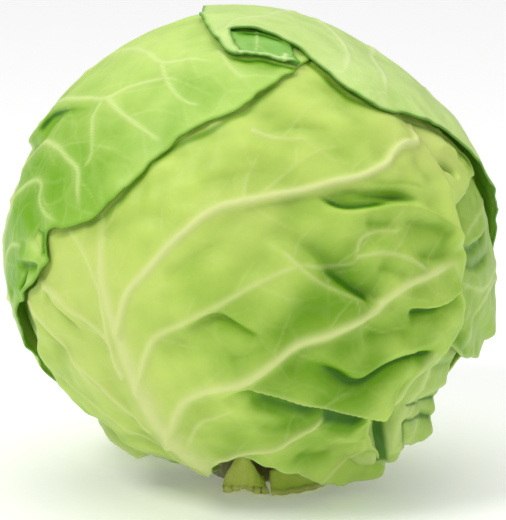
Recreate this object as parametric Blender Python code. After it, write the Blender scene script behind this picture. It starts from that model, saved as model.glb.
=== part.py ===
"""A head of white cabbage, resting on its cut stump.

Places on the head are given as on a globe around HEAD_CENTRE: longitude 0 faces the front (-Y) and
grows towards +X, and latitude 90 is the crown. Angles are in degrees and lengths in metres.

The closed heart is one solid. Six loose leaves wrap it, each a thin shell rooted at the stump. They are
laid on in order, so that a leaf stands clear of every leaf under it. Beside the stump, under the head, lie
the bases of two leaves that were trimmed off.
"""

import math
from collections import namedtuple

import bmesh
import bpy
from mathutils import Vector

# Driving dimensions
HEAD_CENTRE = Vector((0.0, 0.0, 0.0845))
HEART_HALF_WIDTH = 0.0850
HEART_HALF_DEPTH = 0.0830
HEART_TOP = 0.0800
HEART_BOTTOM = 0.0755
HEART_SQUARENESS = 2.15

LEAF_THICKNESS = 0.0012
LEAF_CLEARANCE = 0.0011
FIRST_CLEARANCE = 0.0007
MILLIMETRE = 0.001

STUMP_RADIUS = 0.0150
STUMP_NECK_RADIUS = 0.0135
STUMP_HEIGHT = 0.0080
STUMP_EDGE = 0.0012

STUB_GAP = 0.0010
STUB_FLOOR = 0.0004
STUB_CURL = 0.25
STUB_EDGE_SHARE = 0.45

# How finely the shells are divided
LEAF_RINGS = 9
MARGIN_STEP = 0.15
HEART_SEGMENTS = 32
HEART_RINGS = 18
STUMP_SEGMENTS = 32
STUB_STATIONS = 6
STUB_COLUMNS = 8

# A leaf's thickness is felt this far past its margin, so that the next leaf tents over it
COVER_FULL = 6.0
COVER_FADE = 25.0
# The share of a leaf's reach where its margin starts to lift
LIFT_START = 0.62

# centre: where the middle of the blade lies. margin: points of its outline, each with a longitude, a
# latitude and how far in millimetres the edge lifts off the head there.
Leaf = namedtuple("Leaf", "name colour centre margin")
# longitude: where it points. width and height: at the stump and at the cut end.
Stub = namedtuple("Stub", "name longitude length width height")

PALE_GREEN = (0.45, 0.60, 0.12)
FRESH_GREEN = (0.36, 0.56, 0.09)
DEEP_GREEN = (0.25, 0.42, 0.06)
HEART_CREAM = (0.62, 0.70, 0.30)
STUMP_CREAM = (0.60, 0.62, 0.32)
STUB_GREEN = (0.33, 0.42, 0.10)
LEAF_ROUGHNESS = 0.42
CUT_ROUGHNESS = 0.60

# From the innermost to the outermost
LEAVES = (
    Leaf("lower_left_leaf", DEEP_GREEN, (-62, -18), (
        (-14, -40, 1), (-18, -56, 1), (-30, -72, 0), (-47, -78, 0), (-75, -72, 0), (-98, -55, 0),
        (-112, -35, 0), (-116, -15, 0), (-106, 10, 0), (-80, 26, 0), (-46, 22, 0), (-20, 2, 0),
        (-10, -20, 0),
    )),
    Leaf("lower_right_leaf", FRESH_GREEN, (42, -14), (
        (70, -27, 3), (73, -38, 6), (68, -50, 7), (62, -62, 4), (50, -74, 1), (34, -78, 0), (12, -70, 0),
        (-6, -46, 0), (-15, -15, 0), (-5, 15, 0), (24, 34, 0), (60, 34, 0), (84, 14, 0), (86, -10, 0),
    )),
    Leaf("right_leaf", FRESH_GREEN, (104, -4), (
        (60, -20, 3), (72, -26, 7), (88, -30, 7), (98, -44, 3), (100, -62, 1), (112, -75, 0),
        (124, -78, 0), (140, -73, 0), (152, -55, 0), (160, -32, 0), (162, -6, 0), (156, 22, 0),
        (136, 44, 0), (100, 54, 0), (68, 48, 0), (46, 32, 0), (40, 12, 0), (44, -6, 0),
    )),
    Leaf("front_leaf", PALE_GREEN, (-6, -4), (
        (58, 38, 0), (62, 26, 1), (56, 12, 2), (55, -8, 3), (47, -22, 3), (46, -38, 4), (58, -52, 6),
        (48, -63, 5), (20, -65, 1), (2, -74, 0), (-14, -78, 0), (-34, -72, 0), (-48, -56, 0),
        (-59, -38, 1), (-65, -20, 1), (-66, 0, 0), (-66, 20, 0), (-55, 48, 0), (-10, 66, 0), (35, 60, 0),
    )),
    Leaf("left_leaf", FRESH_GREEN, (-94, 8), (
        (-60, -3, 3), (-53, 9, 1), (-42, 14, 1), (-26, 30, 1), (-19, 37, 1), (-5, 43, 1), (8, 51, 1),
        (26, 60, 0), (70, 70, 0), (140, 68, 0), (186, 48, 0), (206, 18, 0), (214, -14, 0),
        (222, -42, 0), (234, -64, 0), (246, -74, 0), (261, -78, 0), (278, -73, 0), (288, -56, 1),
        (290, -36, 3), (292, -22, 5), (296, -12, 5),
    )),
    Leaf("crown_leaf", PALE_GREEN, (168, 14), (
        (-60, 74, 0), (-25, 67, 1), (-4, 60, 1), (16, 58, 1), (34, 53, 2), (45, 43, 2), (60, 37, 2),
        (71, 27, 3), (77, 14, 3), (92, 2, 2), (106, -18, 1), (120, -42, 0), (136, -62, 0),
        (156, -74, 0), (176, -78, 0), (196, -73, 0), (212, -58, 0), (224, -36, 0), (234, -12, 1),
        (242, 10, 1), (250, 36, 1), (264, 60, 1),
    )),
)

STUBS = (
    Stub("front_stub", -6, 0.0180, (0.0110, 0.0160), (0.0020, 0.0040)),
    Stub("right_stub", 46, 0.0250, (0.0120, 0.0270), (0.0020, 0.0040)),
)


def direction(longitude, latitude):
    """The unit vector from the head's centre to a place on the globe."""
    east, north = math.radians(longitude), math.radians(latitude)
    return Vector((
        math.cos(north) * math.sin(east),
        -math.cos(north) * math.cos(east),
        math.sin(north),
    ))


def heart_radius(way):
    """How far the heart's surface is from its centre, along a unit vector."""
    half_height = HEART_TOP if way.z > 0 else HEART_BOTTOM
    total = (
        abs(way.x / HEART_HALF_WIDTH) ** HEART_SQUARENESS
        + abs(way.y / HEART_HALF_DEPTH) ** HEART_SQUARENESS
        + abs(way.z / half_height) ** HEART_SQUARENESS
    )
    return total ** (-1 / HEART_SQUARENESS)


def ease(share):
    """0 below 0, 1 above 1, and a smooth step between."""
    share = min(1.0, max(0.0, share))
    return share * share * (3 - 2 * share)


class Chart:
    """A leaf's own map: how far a place is from its centre, and on which bearing."""

    def __init__(self, leaf):
        self.axis = direction(*leaf.centre)
        self.east = Vector((0, 0, 1)).cross(self.axis).normalized()
        self.north = self.axis.cross(self.east)
        self.points = sorted(
            (*self.polar(direction(longitude, latitude))[::-1], lift * MILLIMETRE)
            for longitude, latitude, lift in leaf.margin
        )

    def polar(self, way):
        """The angle of a unit vector from the centre, and its bearing from east, in radians."""
        away = math.acos(max(-1.0, min(1.0, way.dot(self.axis))))
        bearing = math.atan2(way.dot(self.north), way.dot(self.east))
        return away, bearing % math.tau

    def way(self, away, bearing):
        """The unit vector at an angle from the centre on a bearing."""
        across = self.east * math.cos(bearing) + self.north * math.sin(bearing)
        return self.axis * math.cos(away) + across * math.sin(away)

    def spokes(self):
        """Bearings that meet every point of the margin, and enough between them to keep its edges short."""
        found = []
        for here, there in zip(self.points, self.points[1:] + self.points[:1]):
            span = (there[0] - here[0]) % math.tau
            edge = (self.way(here[1], here[0]) - self.way(there[1], there[0])).length
            parts = math.ceil(edge / MARGIN_STEP)
            found += [here[0] + span * part / parts for part in range(parts)]
        return found

    def margin_at(self, bearing):
        """The reach and the lift of the margin on a bearing, by a smooth curve through its points."""
        bearing %= math.tau
        count = len(self.points)
        after = next((i for i, p in enumerate(self.points) if p[0] > bearing), 0)
        around = [self.points[(after + step) % count] for step in (-2, -1, 0, 1)]
        span = (around[2][0] - around[1][0]) % math.tau
        share = ((bearing - around[1][0]) % math.tau) / span
        return tuple(catmull_rom([p[k] for p in around], share) for k in (1, 2))


def catmull_rom(values, share):
    """A smooth curve through four values, between the second and the third."""
    a, b, c, d = values
    return b + 0.5 * share * (
        c - a + share * (2 * a - 5 * b + 4 * c - d + share * (3 * (b - c) + d - a))
    )


def lift_at(chart, way):
    """How far a leaf's margin flares off the head at a place, and its cover there, 1 on the leaf."""
    away, bearing = chart.polar(way)
    reach, lift = chart.margin_at(bearing)
    past = math.degrees(away - reach)
    flare = lift * ease((away / reach - LIFT_START) / (1 - LIFT_START))
    return flare, 1 - ease((past - COVER_FULL) / COVER_FADE)


def stack_height(charts_below, way):
    """How high the leaves already laid on stand over the heart at a place."""
    height = FIRST_CLEARANCE
    for chart in charts_below:
        flare, cover = lift_at(chart, way)
        height += cover * (LEAF_THICKNESS + LEAF_CLEARANCE + flare)
    return height


def new_object(name, mesh, colour, roughness):
    """Puts a mesh in the scene as a smooth object with its own material."""
    material = bpy.data.materials.new(name)
    material.use_nodes = True
    shader = material.node_tree.nodes["Principled BSDF"]
    shader.inputs["Base Color"].default_value = (*colour, 1.0)
    shader.inputs["Roughness"].default_value = roughness
    shader.inputs["Metallic"].default_value = 0.0
    mesh.materials.append(material)
    mesh.shade_smooth()
    obj = bpy.data.objects.new(name, mesh)
    bpy.context.collection.objects.link(obj)
    return obj


def mesh_from(shape, name):
    """Turns a bmesh into a mesh whose faces point outwards, and frees it."""
    bmesh.ops.recalc_face_normals(shape, faces=shape.faces)
    mesh = bpy.data.meshes.new(name)
    shape.to_mesh(mesh)
    shape.free()
    return mesh


def build_heart():
    """The tight inner head: a globe drawn in to the heart's own width, depth and height."""
    shape = bmesh.new()
    bmesh.ops.create_uvsphere(shape, u_segments=HEART_SEGMENTS, v_segments=HEART_RINGS, radius=1.0)
    for vertex in shape.verts:
        way = vertex.co.normalized()
        vertex.co = HEAD_CENTRE + way * heart_radius(way)
    return new_object("heart", mesh_from(shape, "heart"), HEART_CREAM, LEAF_ROUGHNESS)


def build_leaf(leaf, charts_below):
    """One wrapper leaf: a sheet laid over what is under it, then thickened outwards.

    Args:
        leaf: the leaf to build.
        charts_below: the charts of the leaves already laid on.

    Returns:
        The leaf's own chart.
    """
    chart = Chart(leaf)
    shape = bmesh.new()

    def lay(share, bearing):
        reach, lift = chart.margin_at(bearing)
        way = chart.way(share * reach, bearing)
        height = stack_height(charts_below, way)
        height += lift * ease((share - LIFT_START) / (1 - LIFT_START))
        return shape.verts.new(HEAD_CENTRE + way * (heart_radius(way) + height))

    middle = lay(0.0, 0.0)
    bearings = chart.spokes()
    rings = [[lay(ring / LEAF_RINGS, bearing) for bearing in bearings] for ring in range(1, LEAF_RINGS + 1)]
    for spoke in range(len(bearings)):
        shape.faces.new((middle, rings[0][spoke - 1], rings[0][spoke]))
        for inner, outer in zip(rings, rings[1:]):
            shape.faces.new((inner[spoke - 1], outer[spoke - 1], outer[spoke], inner[spoke]))
    mesh = bpy.data.meshes.new(leaf.name)
    shape.to_mesh(mesh)
    shape.free()
    obj = new_object(leaf.name, mesh, leaf.colour, LEAF_ROUGHNESS)
    blade = obj.modifiers.new("blade thickness", "SOLIDIFY")
    blade.thickness = LEAF_THICKNESS
    blade.offset = 1.0
    return chart


def build_stump():
    """The cut end of the stem: a short plug with a flat foot, spun from its profile."""
    shape = bmesh.new()
    profile = (
        (0.0, 0.0),
        (STUMP_RADIUS - STUMP_EDGE, 0.0),
        (STUMP_RADIUS, STUMP_EDGE),
        (STUMP_NECK_RADIUS, STUMP_HEIGHT),
        (0.0, STUMP_HEIGHT),
    )
    points = [shape.verts.new((radius, 0.0, height)) for radius, height in profile]
    edges = [shape.edges.new(pair) for pair in zip(points, points[1:])]
    bmesh.ops.spin(
        shape, geom=points + edges, cent=(0, 0, 0), axis=(0, 0, 1), angle=math.tau,
        steps=STUMP_SEGMENTS, use_merge=True, use_duplicate=False,
    )
    bmesh.ops.remove_doubles(shape, verts=shape.verts, dist=1e-5)
    return new_object("stump", mesh_from(shape, "stump"), STUMP_CREAM, CUT_ROUGHNESS)


def build_stub(stub):
    """The base of a trimmed leaf: a thick strip on the ground that widens and rises away from the stump.

    Its underside is rounded across its width and its top is hollow, as the foot of a leaf stalk is.
    """
    shape = bmesh.new()
    upper, lower = [], []
    for station in range(STUB_STATIONS + 1):
        share = station / STUB_STATIONS
        width = stub.width[0] + (stub.width[1] - stub.width[0]) * share
        height = stub.height[0] + (stub.height[1] - stub.height[0]) * share
        away = STUMP_RADIUS + STUB_GAP + stub.length * share
        for column in range(STUB_COLUMNS + 1):
            side = 2 * column / STUB_COLUMNS - 1
            bearing = math.radians(stub.longitude - 90) + side * width / 2 / away
            foot = STUB_FLOOR + STUB_CURL * height * side * side
            top = foot + height * (1 - (1 - STUB_EDGE_SHARE) * side * side)
            across = Vector((math.cos(bearing), math.sin(bearing), 0.0)) * away
            lower.append(shape.verts.new(across + Vector((0, 0, foot))))
            upper.append(shape.verts.new(across + Vector((0, 0, top))))
    row = STUB_COLUMNS + 1
    for station in range(STUB_STATIONS):
        for column in range(STUB_COLUMNS):
            corner = station * row + column
            quad = (corner, corner + row, corner + row + 1, corner + 1)
            shape.faces.new([upper[i] for i in quad])
            shape.faces.new([lower[i] for i in reversed(quad)])
    last = STUB_STATIONS * row
    rim = (
        list(range(row))
        + [station * row + row - 1 for station in range(1, STUB_STATIONS + 1)]
        + [last + column for column in range(STUB_COLUMNS - 1, -1, -1)]
        + [station * row for station in range(STUB_STATIONS - 1, 0, -1)]
    )
    for here, there in zip(rim, rim[1:] + rim[:1]):
        shape.faces.new((lower[here], lower[there], upper[there], upper[here]))
    return new_object(stub.name, mesh_from(shape, stub.name), STUB_GREEN, CUT_ROUGHNESS)


def main():
    for obj in list(bpy.data.objects):
        bpy.data.objects.remove(obj)
    build_heart()
    build_stump()
    charts = []
    for leaf in LEAVES:
        charts.append(build_leaf(leaf, charts))
    for stub in STUBS:
        build_stub(stub)


main()
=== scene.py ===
"""The looks of a head of white cabbage: veined wrapper leaves with folds and ruffles round a tight heart.

Places on the head are given as on a globe round its centre: longitude 0 faces the front (-Y) and grows
towards +X, latitude 90 is the crown, and both are in degrees. Sizes across a leaf, such as a vein's width
or how far a margin lifts, are in millimetres, and everything else is in metres.
"""

from __future__ import annotations

import logging
import math
from dataclasses import dataclass
from enum import Enum
from typing import Any, Callable, Sequence

import bpy
import numpy as np
from mathutils.kdtree import KDTree
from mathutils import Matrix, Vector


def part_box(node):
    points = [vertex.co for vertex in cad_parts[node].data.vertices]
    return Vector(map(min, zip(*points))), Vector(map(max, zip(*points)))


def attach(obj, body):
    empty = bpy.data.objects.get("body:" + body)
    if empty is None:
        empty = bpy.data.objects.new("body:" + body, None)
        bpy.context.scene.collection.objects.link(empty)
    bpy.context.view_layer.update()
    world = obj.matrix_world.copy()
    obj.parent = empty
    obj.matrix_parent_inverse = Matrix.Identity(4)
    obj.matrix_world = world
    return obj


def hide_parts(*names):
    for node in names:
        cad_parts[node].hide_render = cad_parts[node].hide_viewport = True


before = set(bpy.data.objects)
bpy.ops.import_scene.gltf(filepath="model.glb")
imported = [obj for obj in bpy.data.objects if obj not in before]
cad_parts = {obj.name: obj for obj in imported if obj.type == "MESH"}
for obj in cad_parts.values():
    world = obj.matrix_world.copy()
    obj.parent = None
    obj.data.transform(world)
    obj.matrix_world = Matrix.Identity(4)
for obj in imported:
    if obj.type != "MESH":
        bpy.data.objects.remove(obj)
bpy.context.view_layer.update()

log = logging.getLogger("cabbage")

Place = tuple[float, float]
Colour = tuple[float, float, float]
Outline = Sequence[tuple[float, float, float]]

MM = 0.001
# The head's typical radius in mm, which turns lengths on a leaf into angles.
RADIUS = 88.0
MERGE_DISTANCE = 0.00006
ROOT = "root"


# ---------------------------------------------------------------- the globe


def ways_of(places: Sequence[Place]) -> np.ndarray:
    """Unit vectors from the head's centre to places on the globe.

    Args:
        places: longitudes and latitudes.

    Returns:
        One row of x, y, z for each place.
    """
    east, north = np.radians(np.asarray(places, float)).T
    return np.stack([np.cos(north) * np.sin(east), -np.cos(north) * np.cos(east), np.sin(north)], axis=-1)


def unit(rows: np.ndarray) -> np.ndarray:
    """The rows, each made one long."""
    return rows / np.linalg.norm(rows, axis=-1, keepdims=True)


def ease(share: np.ndarray) -> np.ndarray:
    """0 below 0, 1 above 1, and a smooth step between."""
    share = np.clip(share, 0.0, 1.0)
    return share * share * (3 - 2 * share)


def between(ends: tuple[float, float], share: np.ndarray) -> np.ndarray:
    """A value that goes evenly from the first end to the second."""
    return ends[0] + (ends[1] - ends[0]) * share


def curve(a: np.ndarray, b: np.ndarray, c: np.ndarray, d: np.ndarray, s: float) -> np.ndarray:
    """The point a share s of the way from b to c, on a smooth curve through a, b, c and d."""
    return b + 0.5 * s * (c - a + s * (2 * a - 5 * b + 4 * c - d + s * (3 * (b - c) + d - a)))


def nearness(ways: np.ndarray, place: Place, spread: float) -> np.ndarray:
    """1 at a place on the globe, and less further from it, over a spread in degrees."""
    apart = np.degrees(np.arccos(np.clip(ways @ ways_of([place])[0], -1, 1)))
    return np.exp(-((apart / spread) ** 2))


def smooth_path(points: np.ndarray, parts: int = 6) -> np.ndarray:
    """A smooth path on the globe through some points.

    Args:
        points: unit vectors, in order.
        parts: how many pieces each stretch between two points is cut into.

    Returns:
        The path's own unit vectors.
    """
    padded = np.vstack([2 * points[0] - points[1], points, 2 * points[-1] - points[-2]])
    a, b, c, d = (padded[k : len(padded) - 3 + k] for k in range(4))
    path = np.stack([curve(a, b, c, d, part / parts) for part in range(parts)], axis=1).reshape(-1, 3)
    return unit(np.vstack([path, points[-1]]))


@dataclass(frozen=True)
class Dent:
    """A broad place where the head is flatter or fuller than a round one."""

    place: Place
    depth: float
    spread: float

    def at(self, ways: np.ndarray) -> np.ndarray:
        """How much it adds to the radius, in metres."""
        return self.depth * MM * nearness(ways, self.place, self.spread)


@dataclass(frozen=True)
class Form:
    """The smooth round of the closed heart, which every leaf is laid over."""

    centre: tuple[float, float, float]
    half_width: float
    half_depth: float
    top: float
    bottom: float
    squareness: float
    dents: tuple[Dent, ...]

    def radius(self, ways: np.ndarray) -> np.ndarray:
        """How far the heart's surface is from the centre, along unit vectors."""
        half_height = np.where(ways[:, 2] > 0, self.top, self.bottom)
        power = self.squareness
        total = (
            np.abs(ways[:, 0] / self.half_width) ** power
            + np.abs(ways[:, 1] / self.half_depth) ** power
            + np.abs(ways[:, 2] / half_height) ** power
        )
        return total ** (-1 / power) + sum(dent.at(ways) for dent in self.dents)


# ---------------------------------------------------------------- lines drawn on a leaf


@dataclass(frozen=True)
class Trace:
    """Where points lie beside a path: which ones are near, how far in mm, on which side and how far along."""

    near: np.ndarray
    apart: np.ndarray
    left: np.ndarray
    along: np.ndarray
    leftward: np.ndarray


def trace(ways: np.ndarray, path: np.ndarray, reach: float, radius: float) -> Trace:
    """Measures points against a path on the globe.

    Args:
        ways: the points' unit vectors.
        path: the path's unit vectors.
        reach: how far from the path to look, in mm.
        radius: the head's radius, in mm.

    Returns:
        The trace of the points within reach.
    """
    middle = unit(path.mean(axis=0))
    spread = np.linalg.norm(path - middle, axis=1).max() + reach / radius
    near = np.flatnonzero(np.linalg.norm(ways - middle, axis=1) < spread)
    here = ways[near]
    best = np.full(len(near), np.inf)
    left = np.ones(len(near), bool)
    along = np.zeros(len(near))
    leftward = np.zeros((len(near), 3))
    lengths = np.linalg.norm(np.diff(path, axis=0), axis=1)
    travelled = np.concatenate([[0], np.cumsum(lengths)])
    for start, end, done, length in zip(path, path[1:], travelled, lengths):
        step = end - start
        share = np.clip((here - start) @ step / (length * length), 0, 1)
        offset = here - start - share[:, None] * step
        apart = np.einsum("ij,ij->i", offset, offset)
        closer = apart < best
        side = np.cross(here, step)
        best = np.where(closer, apart, best)
        left = np.where(closer, np.einsum("ij,ij->i", offset, side) > 0, left)
        along = np.where(closer, (done + share * length) / travelled[-1], along)
        leftward = np.where(closer[:, None], side / length, leftward)
    apart = np.sqrt(best) * radius
    kept = apart < reach
    return Trace(near[kept], apart[kept], left[kept], along[kept], leftward[kept])


@dataclass(frozen=True)
class Fold:
    """A ridge, or with a negative height a valley, pressed into a leaf along a line.

    Its two sides may have different widths: a steep side and a long one make a pleat. A tuck slides the
    crest towards its left, so that it hangs over that side.
    """

    path: tuple[Place, ...]
    height: float
    left: float
    right: float
    tuck: float = 0.0
    power: float = 1.4
    fade: tuple[float, float] = (0.25, 0.25)
    # How much it deepens the green along its line and paints shade there, in its crease or under its
    # overhang.
    deep_green_and_painted_shade: float = 0.0


@dataclass(frozen=True)
class Vein:
    """A raised pale vein, with its half width, height and paleness at its root and at its tip."""

    path: tuple[Place, ...]
    width: tuple[float, float] = (1.4, 0.6)
    height: tuple[float, float] = (0.9, 0.3)
    pale: tuple[float, float] = (0.9, 0.5)
    glow: float = 3.0


@dataclass(frozen=True)
class Wash:
    """A broad soft place on a leaf that is paler, or darker: deeper in its green and in places painted shade.
    """

    place: Place
    spread: float
    pale: float = 0.0
    # How much darker it makes the leaf: a deeper green, and painted shade.
    deep_green_and_painted_shade: float = 0.0

    def share(self, ways: np.ndarray) -> np.ndarray:
        """How much of it each way gets."""
        return nearness(ways, self.place, self.spread)


@dataclass(frozen=True)
class Branching:
    """How small veins leave the main ones: spacing and length in mm, angle, and how strong they are."""

    spacing: float = 19.0
    length: float = 18.0
    angle: float = 48.0
    width: float = 0.45
    height: float = 0.15
    pale: float = 0.25


# ---------------------------------------------------------------- materials


class Signal:
    """A value in a material. Python's operators on it add the Math nodes."""

    def __init__(self, shader: "Shader", socket: Any) -> None:
        """Wraps an output socket."""
        self.shader = shader
        self.socket = socket

    def math(self, operation: str, first: Any, second: Any) -> "Signal":
        """One Math node on two values."""
        return self.shader.node("ShaderNodeMath", {"operation": operation}, {0: first, 1: second})

    def __add__(self, other: Any) -> "Signal":
        """self + other."""
        return self.math("ADD", self, other)

    __radd__ = __add__

    def __sub__(self, other: Any) -> "Signal":
        """self - other."""
        return self.math("SUBTRACT", self, other)

    def __rsub__(self, other: Any) -> "Signal":
        """other - self."""
        return self.math("SUBTRACT", other, self)

    def __mul__(self, other: Any) -> "Signal":
        """self * other."""
        return self.math("MULTIPLY", self, other)

    __rmul__ = __mul__

    def most(self, other: Any) -> "Signal":
        """The larger of the two."""
        return self.math("MAXIMUM", self, other)

    def step(self, low: float, high: float) -> "Signal":
        """0 at low, 1 at high, and a smooth step between. It falls where high is under low."""
        settings = {"interpolation_type": "SMOOTHSTEP"}
        rising = self.shader.node(
            "ShaderNodeMapRange", settings, {0: self, 1: min(low, high), 2: max(low, high), 3: 0.0, 4: 1.0}
        )
        return rising if low < high else 1 - rising


class Shader:
    """One material and the nodes that are put in it."""

    def __init__(self, name: str) -> None:
        """Makes a material that holds only a Principled shader."""
        self.material = bpy.data.materials.new(name)
        self.material.use_nodes = True
        self.tree = self.material.node_tree
        self.principled = self.tree.nodes["Principled BSDF"]

    def node(self, kind: str, settings: dict[str, Any], inputs: dict[Any, Any], out: Any = 0) -> Signal:
        """Adds one node.

        Args:
            kind: the node's type.
            settings: its own settings, which are set first.
            inputs: its sockets' values or the signals that feed them, by name or number.
            out: the output to give back.

        Returns:
            The output, as a signal.
        """
        made = self.tree.nodes.new(kind)
        for key, value in settings.items():
            setattr(made, key, value)
        for key, value in inputs.items():
            self.feed(made.inputs[key], value)
        return Signal(self, made.outputs[out])

    def feed(self, socket: Any, value: Any) -> None:
        """Links a signal to a socket, or sets the socket's own value."""
        if isinstance(value, Signal):
            self.tree.links.new(value.socket, socket)
        elif isinstance(value, tuple) and len(value) == 3 and socket.type == "RGBA":
            socket.default_value = (*value, 1.0)
        else:
            socket.default_value = value

    def place(self) -> Signal:
        """Where a point is on the object."""
        return self.node("ShaderNodeTexCoord", {}, {}, "Object")

    def attribute(self, name: str) -> Signal:
        """A number that the mesh holds at each point."""
        return self.node("ShaderNodeAttribute", {"attribute_name": name}, {}, "Fac")

    def noise(self, where: Signal, scale: float, detail: float = 2.0, rough: float = 0.5) -> Signal:
        """Soft cloudy noise from 0 to 1."""
        inputs = {"Vector": where, "Scale": scale, "Detail": detail, "Roughness": rough}
        return self.node("ShaderNodeTexNoise", {}, inputs, "Fac")

    def cell_edges(self, where: Signal, scale: float) -> Signal:
        """How far a point is from the nearest edge between cells."""
        inputs = {"Vector": where, "Scale": scale}
        return self.node("ShaderNodeTexVoronoi", {"feature": "DISTANCE_TO_EDGE"}, inputs, "Distance")

    def warped(self, where: Signal, scale: float, amount: float) -> Signal:
        """Places shifted by noise, so that a pattern on them bends."""
        shift = self.node("ShaderNodeTexNoise", {}, {"Vector": where, "Scale": scale}, "Color")
        centred = self.node("ShaderNodeVectorMath", {"operation": "SUBTRACT"}, {0: shift, 1: (0.5, 0.5, 0.5)})
        scaled = self.node("ShaderNodeVectorMath", {"operation": "SCALE"}, {0: centred, "Scale": amount})
        return self.node("ShaderNodeVectorMath", {"operation": "ADD"}, {0: where, 1: scaled})

    def mix(self, first: Any, second: Any, share: Any) -> Signal:
        """A colour between two, by a share from 0 to 1."""
        return self.node("ShaderNodeMix", {"data_type": "RGBA"}, {0: share, 6: first, 7: second}, 2)

    def bump(self, height: Signal, distance: float, strength: float, under: Signal | None = None) -> Signal:
        """A bump from a height, over another bump where one is given."""
        inputs = {"Height": height, "Distance": distance, "Strength": strength}
        if under is not None:
            inputs["Normal"] = under
        return self.node("ShaderNodeBump", {}, inputs)

    def surface(self, **inputs: Any) -> None:
        """Feeds the Principled shader, with underscores for the spaces in its sockets' names."""
        for key, value in inputs.items():
            self.feed(self.principled.inputs[key.replace("_", " ")], value)


@dataclass(frozen=True)
class LeafFinish:
    """The skin of a cabbage leaf: waxy green, with pale veins and a net of fine ones."""

    name: str
    light: Colour
    deep: Colour
    pale: Colour
    vein: Colour
    # The margin's tint. The default dark green and the left leaf's mid green are painted shade along the
    # margin, on its side and the gap below; the front and right leaves' pale ones are their own pale rims.
    edge: Colour = (0.07, 0.25, 0.008)
    # The dark green of painted shade, for creases, overhangs and the edges of leaves that lie over this one.
    painted_shade: Colour = (0.035, 0.15, 0.0)
    net: float = 0.1
    cell: float = 75.0
    roughness: float = 0.45
    specular: float = 0.22
    scatter: float = 0.18
    scatter_depth: float = 0.004
    blister: float = 0.0010
    grain: float = 0.00012

    def make(self) -> bpy.types.Material:
        """Builds the material."""
        shader = Shader(self.name)
        place = shader.place()
        vein, pale = shader.attribute("vein"), shader.attribute("pale")
        rim, deep_green_and_painted_shade = shader.attribute("rim"), shader.attribute("deep_green_and_painted_shade")
        bent = shader.warped(place, 38.0, 0.012)
        large, small = shader.cell_edges(bent, self.cell), shader.cell_edges(bent, self.cell * 2.9)
        cloud = shader.noise(place, 24.0, 3.0)
        mottle = shader.noise(place, 130.0, 3.0, 0.6)
        net_large = large.step(0.075, 0.0) * cloud.step(0.25, 0.6)
        net_small = small.step(0.10, 0.0) * mottle.step(0.3, 0.7)
        # Tone: random cloudy deepening of the green, plus the stored deeper green and painted shade.
        tone = cloud.step(0.3, 0.7) * 0.22 + mottle.step(0.25, 0.8) * 0.12 + deep_green_and_painted_shade
        colour = shader.mix(self.light, self.deep, tone.step(0.0, 1.0) * 0.35 + tone * 0.65)
        colour = shader.mix(colour, self.vein, net_large * self.net)
        colour = shader.mix(colour, self.vein, net_small * (self.net * 0.35))
        colour = shader.mix(colour, self.pale, pale)
        colour = shader.mix(colour, self.vein, vein)
        # Painted shade: past 0.8 the colour goes towards the painted shade green.
        colour = shader.mix(colour, self.painted_shade, deep_green_and_painted_shade.step(0.8, 2.0) * 0.92)
        # The margin's tint, painted shade where it is dark green.
        colour = shader.mix(colour, self.edge, rim * 0.85)
        blister = large.step(0.0, 0.35) + small.step(0.0, 0.3) * 0.25
        relief = shader.bump(blister, self.blister, 0.2)
        relief = shader.bump(shader.noise(place, 900.0, 2.0), self.grain, 0.3, relief)
        shader.surface(
            Base_Color=colour,
            Roughness=mottle * 0.12 + (self.roughness - 0.06),
            Normal=relief,
            Subsurface_Weight=self.scatter,
            Subsurface_Radius=(0.5, 1.0, 0.15),
            Subsurface_Scale=self.scatter_depth,
            Specular_IOR_Level=self.specular,
        )
        return shader.material


@dataclass(frozen=True)
class CutFinish:
    """The cut flesh of a stalk: fibrous, pale green, browned along its edges."""

    name: str
    flesh: Colour
    skin: Colour
    browned: Colour

    def make(self) -> bpy.types.Material:
        """Builds the material."""
        shader = Shader(self.name)
        place = shader.place()
        fibres = shader.noise(shader.warped(place, 120.0, 0.004), 620.0, 3.0)
        cloud = shader.noise(place, 90.0, 3.0)
        rim = shader.attribute("rim")
        colour = shader.mix(self.flesh, self.skin, cloud.step(0.3, 0.7))
        brown = (rim * cloud.step(0.2, 0.6) * 0.7).most(fibres.step(0.62, 0.8) * 0.15)
        colour = shader.mix(colour, self.browned, brown)
        shader.surface(
            Base_Color=colour,
            Roughness=fibres * 0.2 + 0.5,
            Normal=shader.bump(fibres, 0.0004, 0.6),
            Subsurface_Weight=0.15,
            Subsurface_Radius=(0.6, 1.0, 0.3),
            Subsurface_Scale=0.003,
        )
        return shader.material


@dataclass(frozen=True)
class FloorFinish:
    """A plain pale studio floor."""

    colour: Colour = (0.93, 0.93, 0.93)
    roughness: float = 0.5
    glow: float = 0.165

    def make(self) -> bpy.types.Material:
        """Builds the material."""
        shader = Shader("floor")
        speck = shader.noise(shader.place(), 40.0, 2.0)
        shader.surface(
            Base_Color=self.colour,
            Roughness=speck * 0.05 + self.roughness,
            Emission_Color=(1.0, 1.0, 1.0),
            Emission_Strength=self.glow,
        )
        return shader.material


# ---------------------------------------------------------------- meshes


def deselect_all() -> None:
    """Clears the selection, which the frame's import leaves full."""
    for obj in bpy.context.selected_objects:
        obj.select_set(False)


def coordinates(mesh: bpy.types.Mesh) -> np.ndarray:
    """A mesh's points, one row each."""
    flat = np.empty(len(mesh.vertices) * 3)
    mesh.vertices.foreach_get("co", flat)
    return flat.reshape(-1, 3)


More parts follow.
